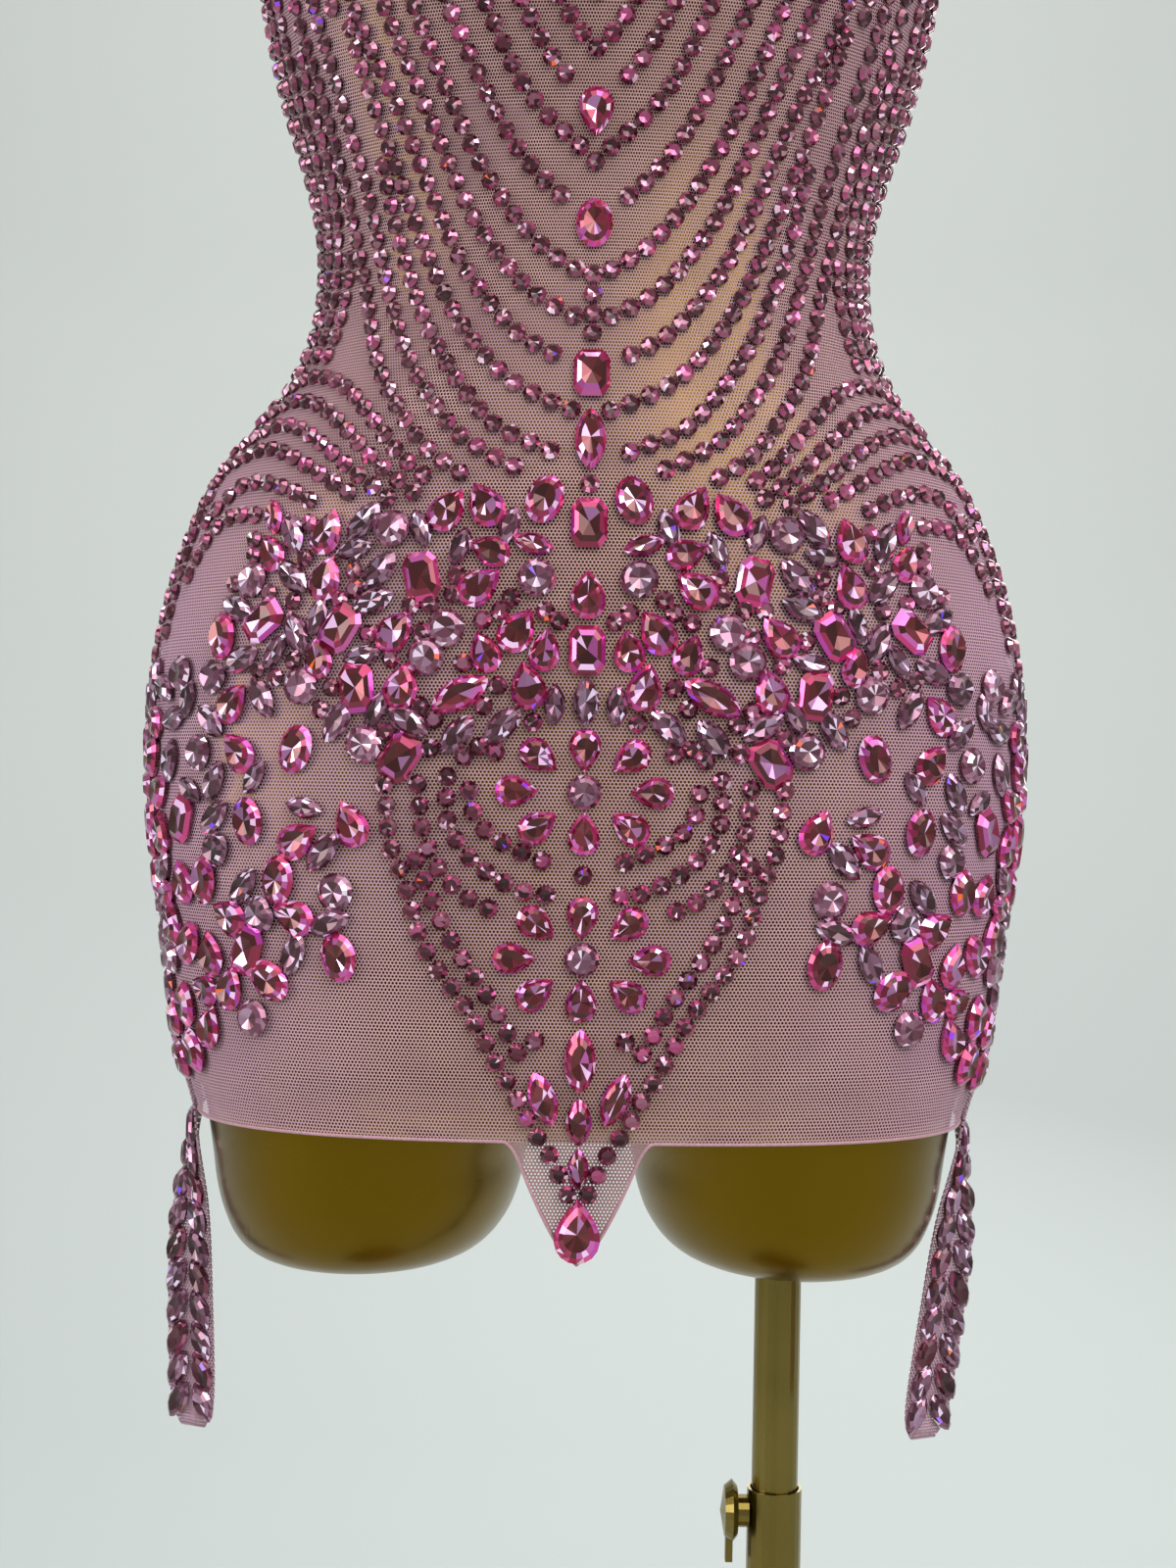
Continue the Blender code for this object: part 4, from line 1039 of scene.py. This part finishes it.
def fancyStones():
    stones, later = [], []

    def add(cut, look, angle, height, turn, scale=1.0, onlyIfFree=False):
        spot, facing = seatAt(angle, max(height, hemHeight))
        if height < hemHeight:
            spot = spot + Vector((0, 0.001, height - hemHeight))
        room = capsule(cut, spot, turn, scale)
        if onlyIfFree and not all(field.free(*part) for part in room):
            return False
        stones.append(stone(cut, look, spot, facing, turn, scale))
        field.takeAll(room)
        return True

    for cut, look, height, turn in middleStones:
        add(cut, look, 0.0, height, turn)
    for height in flowerPlan["heights"]:
        middle, facing = figurePoint(0.0, height), Vector((0, -1, 0))
        stones.append(stone("rivoli", "rivoli", middle, facing, 0, 0.9, lift=0))
        field.take(middle, flowerPlan["heartRoom"])
        for across, up in flowerPlan["petals"]:
            inward = float(np.degrees(np.arctan2(across, -up)))
            start = middle + Vector((across, -0.05, up))
            hit = frontTree.ray_cast(start, Vector((0, 1, 0)))[0]
            stones.append(stone("petal", "pink", hit, facing, inward, lift=0))
            field.takeAll(capsule("petal", hit, inward))
    for side in (-1, 1):
        for band, row in enumerate(bandRows):
            firstHeight, lastHeight, firstAngle, lastAngle, count, kinds = row
            for i in range(count):
                share = i / (count - 1)
                angle = firstAngle + share * (lastAngle - firstAngle)
                height = firstHeight + share * (lastHeight - firstHeight)
                cut = kinds[i % len(kinds)]
                turn = bandTurns[(i + band) % len(bandTurns)]
                entry = cut, cutLooks[cut], side * angle, height, side * turn
                if i % 2 == 0:
                    add(*entry)
                elif side < 0:
                    later.append(entry)
        for band, row in list(enumerate(bandRows))[::2]:
            first = 90 + backBands["shift"]
            for i in range(backBands["count"]):
                angle = first + i * (backBands["end"] - first) / (backBands["count"] - 1)
                turn = bandTurns[(i + band + 2) % len(bandTurns)]
                cut = row[-1][(i + 1) % len(row[-1])]
                add(cut, cutLooks[cut], side * angle, row[1], side * turn)
    # Those between the raised ones lie a little off the rows, alike on both sides
    draw = np.random.default_rng(11)
    for cut, look, *middle in later:
        for _ in range(12):
            angle, height, turn = (m + draw.uniform(-reach, reach) for m, reach in zip(middle, strayPlan))
            if add(cut, look, angle, height, turn, onlyIfFree=True):
                add(cut, look, -angle, height, -turn)
                break
    for name, outline, kinds, tries in scatterZones:
        rows = tuple(sorted(outline))
        weights = np.array([kind[2] for kind in kinds])
        found = 0
        for _ in range(tries):
            height = draw.uniform(rows[0][0], rows[-1][0])
            low, high = (np.interp(height, [r[0] for r in rows], [r[c] for r in rows]) for c in (1, 2))
            angle = -draw.uniform(low, high)
            cut, look, _ = kinds[draw.choice(len(kinds), p=weights / weights.sum())]
            turn = draw.uniform(-80, 80)
            if add(cut, look, angle, height, turn, onlyIfFree=True):
                add(cut, look, -angle, height, -turn)
                found += 1
        print(name, found, "further stones on each side")
    angle, height, turn, scale = slantedPair
    for side in (-1, 1):
        add("long_navette", "pink", side * angle, height, side * turn, scale)
    return stones


# Rows on the lower front: steps out from the middle line and heights in the photograph's pixels
skirtGuides = (
    ((112, 785), (118, 815), (103, 845), (80, 862), (55, 873), (30, 884)),
    ((140, 792), (140, 835), (122, 868), (98, 890), (70, 906), (42, 914), (24, 900)),
    ((170, 800), (164, 850), (146, 888), (118, 916), (88, 930)),
    ((204, 800), (197, 862), (182, 900), (166, 955), (148, 987), (122, 1021), (102, 1054), (84, 1088), (65, 1119),
     (48, 1151), (28, 1181), (9, 1222)),
    ((182, 812), (174, 868), (158, 908), (140, 948), (122, 978), (101, 1008), (82, 1040), (65, 1072), (50, 1098)),
    ((128, 955), (108, 985), (90, 1008), (70, 1036), (50, 1058), (32, 1074)),
)
# Rows down the sides: angle, first height, last height
sideRows = (
    (63, 1.345, 1.054), (69, 1.34, 1.048), (75, 1.335, 1.046), (81, 1.33, 1.05), (87, 1.325, 1.044),
    (93, 1.322, 1.044), (99, 1.322, 1.05), (105, 1.322, 1.056), (111, 1.322, 1.064), (117, 1.322, 1.08),
    (123, 1.322, 1.1), (57, 1.13, 1.062), (72, 1.022, 0.955), (78.5, 1.035, 0.945), (85, 1.04, 0.935),
    (91.5, 1.04, 0.93), (98, 1.036, 0.935), (104.5, 1.03, 0.945),
)


roundPlan = {
    "room": 0.0031,  # radius that each small stone keeps free
    "nearMiddle": 0.0034,  # those nearer the middle line lie on it
    "underEdge": 0.005,  # bare strip under the top edge
    "sideUnderEdge": 0.006,
    "middleRoom": (0.0028, 0.003),  # free radius asked for and taken on the middle line
}


def mirrored(spots, cloth, back):
    # The same stones on both sides, and on the back where they are wanted.
    room = roundPlan["room"]
    for spot in spots:
        middle = abs(spot.x) < roundPlan["nearMiddle"]
        if middle:
            spot = figurePoint(0.0, spot.z)
        if spot.x > 0 or not field.free(spot, room):
            continue
        if spot.z > topEdge(angleAt(spot.x, spot.z)) - roundPlan["underEdge"]:
            continue
        field.take(spot, room)
        for side in (-1,) if middle else (-1, 1):
            x = -side * spot.x
            cloth.append(stone("round", "rose", *seatAt(angleAt(x, spot.z), spot.z)))
            if back is not None and spot.z < topEdge(180) - roundPlan["underEdge"]:
                back.append(stone("round", "rose", *seatAt(angleAt(x, spot.z, True), spot.z)))


def smallStones():
    front, back = [], []
    room, (asked, taken) = roundPlan["room"], roundPlan["middleRoom"]
    for height in middleRounds:
        spot, facing = seatAt(0.0, height)
        if field.free(spot, asked):
            front.append(stone("round", "rose", spot, facing, lift=0))
            field.take(spot, taken)
    for path in frontRows():
        mirrored(strungAlong(castRow(path)), front, back)
    for guide in skirtGuides:
        mirrored(strungAlong(castRow(fromMiddle(smoothPath(guide)))), front, None)
    for angle, high, low in sideRows:
        high = min(high, topEdge(angle) - roundPlan["sideUnderEdge"])
        spots = [figurePoint(-angle, high + (low - high) * i / 80) for i in range(81)]
        for spot in strungAlong(spots):
            if not field.free(spot, room):
                continue
            field.take(spot, room)
            for side in (-1, 1):
                front.append(stone("round", "rose", *seatAt(side * angle, spot.z)))
    return front, back


fancy = fancyStones()
small, smallBack = smallStones()
joinStones("fancyStones", fancy)
joinStones("swagStonesFront", small)
joinStones("swagStonesBack", smallBack)
print("stones laid")

# Tails, straps


def bandPiece(name, outer, inner, node, width, length):
    rows = len(outer)
    points = [p for row in outer for p in row] + [p for row in inner for p in row]
    columns = len(outer[0])
    shift = rows * columns
    faces = gridFaces(rows, columns)
    faces += [tuple(shift + i for i in reversed(face)) for face in gridFaces(rows, columns)]
    for r in range(rows - 1):
        a, b = r * columns, (r + 1) * columns
        faces.append((a, b, shift + b, shift + a))
    for r in range(rows - 1):
        a, b = r * columns + columns - 1, (r + 2) * columns - 1
        faces.append((b, a, shift + a, shift + b))
    for r, flip in ((0, False), (rows - 1, True)):
        for c in range(columns - 1):
            a, b = r * columns + c, r * columns + c + 1
            face = (a, shift + a, shift + b, b)
            faces.append(tuple(reversed(face)) if flip else face)
    piece = linkMesh(name, points, faces)
    turnOutward(piece)
    setUv(piece, [(width * c / (columns - 1), length * r / rows) for r in range(rows) for c in range(columns)] * 2)
    return onFigure(piece, netTail, node)


# height, side, forward, facing in degrees from X, width
tailRows = (
    (0.642, 0.1572, 0.012, 66, 0.011), (0.648, 0.1573, 0.012, 66, 0.018), (0.658, 0.1575, 0.012, 66, 0.021),
    (0.678, 0.1578, 0.012, 64, 0.022), (0.698, 0.158, 0.012, 62, 0.022), (0.718, 0.158, 0.012, 58, 0.022),
    (0.735, 0.157, 0.013, 45, 0.022), (0.75, 0.1555, 0.0135, 25, 0.022), (0.764, 0.154, 0.014, 8, 0.022),
    (0.774, 0.1539, 0.014, 3, 0.022), (0.792, 0.1592, 0.015, 3, 0.022),
)
tailPlan = {
    "pairs": 10, "topPair": 0.765, "pitch": 0.0125, "spread": 0.0058, "slant": 27, "thickness": 0.0012,
    "stoneScale": 1.12,
    "leans": {-1: 0.003, 1: 0.016},  # how far each end hangs towards the middle
    "sidePairs": 6,  # more of the same up the side of the dress
    "sideStart": 0.803,
    "sideAngle": 86.5,
    "sideLean": 2.2,  # degrees further forward over the side pairs
    "sideSpread": 2.4,
    "sideRoom": (0.0028, 0.004),  # free radius asked for and taken
    "low": 0.642,
    "length": 0.15,
    "swing": 0.132,  # height under the hem over which the end leans
    "width": 0.022,
    "rows": 40,
}


def tailFrame(height, side):
    across, forward, facingAngle, width = (readSmooth(tailRows, c, height) for c in (1, 2, 3, 4))
    across -= tailPlan["leans"][side] * max(0.0, hemHeight - height) / tailPlan["swing"]
    facing = Vector((side * cos(radians(facingAngle)), -sin(radians(facingAngle)), 0))
    middle = Vector((side * across, -forward, height))
    return middle, facing, upward.cross(facing), width


def makeTail(name, side, node):
    plan = tailPlan
    outer, inner = [], []
    for i in range(plan["rows"]):
        middle, facing, along, width = tailFrame(plan["low"] + plan["length"] * i / (plan["rows"] - 1), side)
        outer.append([middle + c * width / 2 * along + plan["thickness"] * facing for c in (-1, 0, 1)])
        inner.append([middle + c * width / 2 * along for c in (-1, 0, 1)])
    piece = bandPiece(name, outer, inner, node, plan["width"], plan["length"])
    stones = []

    def addPaired(look, pair, way, spot, facing):
        look = "lilac" if (pair + way) % 3 else look
        stones.append(stone("tail_navette", look, spot, facing, way * plan["slant"], plan["stoneScale"], lift=0))

    for pair in range(plan["pairs"]):
        middle, facing, along, _ = tailFrame(plan["topPair"] - pair * plan["pitch"], side)
        for way in (-1, 1):
            spot = middle + (plan["thickness"] + clothLift) * facing + way * plan["spread"] * along
            addPaired("rose", pair, way, spot, facing)
    for pair in range(plan["sidePairs"]):
        height = plan["sideStart"] + pair * plan["pitch"]
        for way in (-1, 1):
            lean = plan["sideLean"] * pair / (plan["sidePairs"] - 1)
            spot, facing = seatAt(side * (plan["sideAngle"] - lean) + way * plan["sideSpread"], height)
            if field.free(spot, plan["sideRoom"][0]):
                field.take(spot, plan["sideRoom"][1])
                addPaired("rivoli", pair, way, spot, facing)
    joinStones(name + "Stones", stones)


makeTail("tailLeft", -1, "tail_left")
makeTail("tailRight", 1, "tail_right")

strapPlan = {
    "side": 0.085, "width": 0.012, "thickness": 0.0012, "lift": 0.0014,
    "hub": (0.0, 1.38),  # inside the shoulder, from where the strap's line is found
    "frontReach": -34, "backReach": -50, "steps": 60,
}
formTree = BVHTree.FromObject(formShell, depsgraph)


def makeStrap(name, side, node):
    plan = strapPlan
    outer, inner = [], []
    for step in range(plan["steps"] + 1):
        share = step / plan["steps"]
        turn = radians(plan["frontReach"] + share * (180 - plan["backReach"] - plan["frontReach"]))
        way = Vector((0, -cos(turn), sin(turn)))
        rows = []
        for edge in (-0.5, 0.0, 0.5):
            hub = Vector((side * plan["side"] + edge * plan["width"], *plan["hub"]))
            hits = [t.ray_cast(hub + way * 0.3, -way, 0.3)[0] for t in (frontTree, backTree, formTree)]
            outermost = max((h for h in hits if h is not None), key=lambda h: (h - hub).length)
            rows.append(outermost + plan["lift"] * way)
        inner.append(rows)
        outer.append([p + plan["thickness"] * way for p in rows])
    length = sum((after[1] - before[1]).length for before, after in zip(inner, inner[1:]))
    piece = bandPiece(name, outer, inner, node, plan["width"], length)


makeStrap("strapLeft", -1, "strap_left")
makeStrap("strapRight", 1, "strap_right")
print("tails and straps made")

# Stand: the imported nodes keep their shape
for nodeName in ("mast", "stand_tube", "foot_flange", "base_plate", "clamp_screw"):
    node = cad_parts[nodeName]
    node.data.materials.clear()
    node.data.materials.append(satinBrass)


# Floor and light

studio = {
    "wall": linear(206, 210, 206),
    "floor": linear(180, 186, 184),
    "ambient": 0.34,
    "sky": (1.25, 60, 24, 10, 0),  # strength of the even light from above, its softness in degrees, its turn
    "width": 60.0,
    "front": -30.0,  # edge of the floor before the form, and the wall behind it
    "wallPlace": 4.2,
    "wallHeight": 7.0,
    "curve": 2.2,
    "lights": (
        # name, place, size, power, aimed at
        ("keySoft", (1.6, -2.0, 2.5), 2.1, 46.0, (0, 0, 1.0)),
        ("fillSoft", (-2.3, -1.0, 1.5), 1.3, 26.0, (0, 0, 0.95)),
        ("backSoft", (0.8, 2.6, 1.9), 1.8, 22.0, (0, 0, 1.0)),
        ("wallSoft", (0.0, 1.2, 3.2), 3.0, 50.0, (0, 4.2, 1.0)),
    ),
}


def makeStudio():
    plan = studio
    bpy.ops.object.select_all(action="DESELECT")
    middle = (plan["front"] + plan["wallPlace"]) / 2
    bpy.ops.mesh.primitive_plane_add(size=1, location=(0, middle, -0.0005))
    cove = bpy.context.active_object
    cove.name = "studioCove"
    cove.scale = (plan["width"], plan["wallPlace"] - plan["front"], 1)
    bpy.ops.object.transform_apply(location=True, rotation=True, scale=True)
    bpy.ops.object.mode_set(mode="EDIT")
    bpy.ops.mesh.select_mode(type="EDGE")
    bpy.ops.mesh.select_all(action="DESELECT")
    # The far edge of the floor is drawn up into the wall, and the corner between them is rounded
    for operator, settings in (
        (bpy.ops.mesh.extrude_region_move, {"TRANSFORM_OT_translate": {"value": (0, 0, plan["wallHeight"])}}),
        (bpy.ops.mesh.bevel, {"offset": plan["curve"], "segments": 24}),
    ):
        bpy.ops.object.mode_set(mode="OBJECT")
        for edge in cove.data.edges:
            ends = [cove.data.vertices[i].co for i in edge.vertices]
            edge.select = all(end.y > plan["wallPlace"] - 0.01 and end.z < 0.1 for end in ends)
        bpy.ops.object.mode_set(mode="EDIT")
        operator(**settings)
    bpy.ops.object.mode_set(mode="OBJECT")
    turnOutward()
    bpy.ops.object.shade_smooth()
    shader = Shader("paleCove", Roughness=0.75)
    shader.surface.inputs["Specular IOR Level"].default_value = 0.2
    # The cove's colour grows darker towards the floor: painted shade against the stronger light falling on the floor
    upright = shader.axis(2) * 0.5
    shade = shader.mix(shader.noise(1.3, 2.0), full(plan["wall"]), full(plan["wall"], 0.95))
    cove.data.materials.append(shader.out(Base_Color=shader.mix(upright, full(plan["floor"]), shade)))

    def addLight(name, kind, power, turn, place=(0, 0, 0)):
        data = bpy.data.lights.new(name, kind)
        data.energy = power
        light = bpy.data.objects.new(name, data)
        light.location, light.rotation_euler = place, turn
        bpy.context.scene.collection.objects.link(light)
        return data

    for name, place, size, power, aim in plan["lights"]:
        turn = (Vector(aim) - Vector(place)).to_track_quat("-Z", "Y").to_euler()
        addLight(name, "AREA", power, turn, place).size = size
    world = bpy.data.worlds.new("studioWorld")
    bpy.context.scene.world = world
    world.use_nodes = True
    world.node_tree.nodes["Background"].inputs["Color"].default_value = (plan["ambient"],) * 3 + (1,)
    strength, softness, *turn = plan["sky"]
    addLight("evenSky", "SUN", strength, [radians(a) for a in turn]).angle = radians(softness)
    bpy.context.scene.view_settings.view_transform = "Standard"


makeStudio()
print("studio ready")
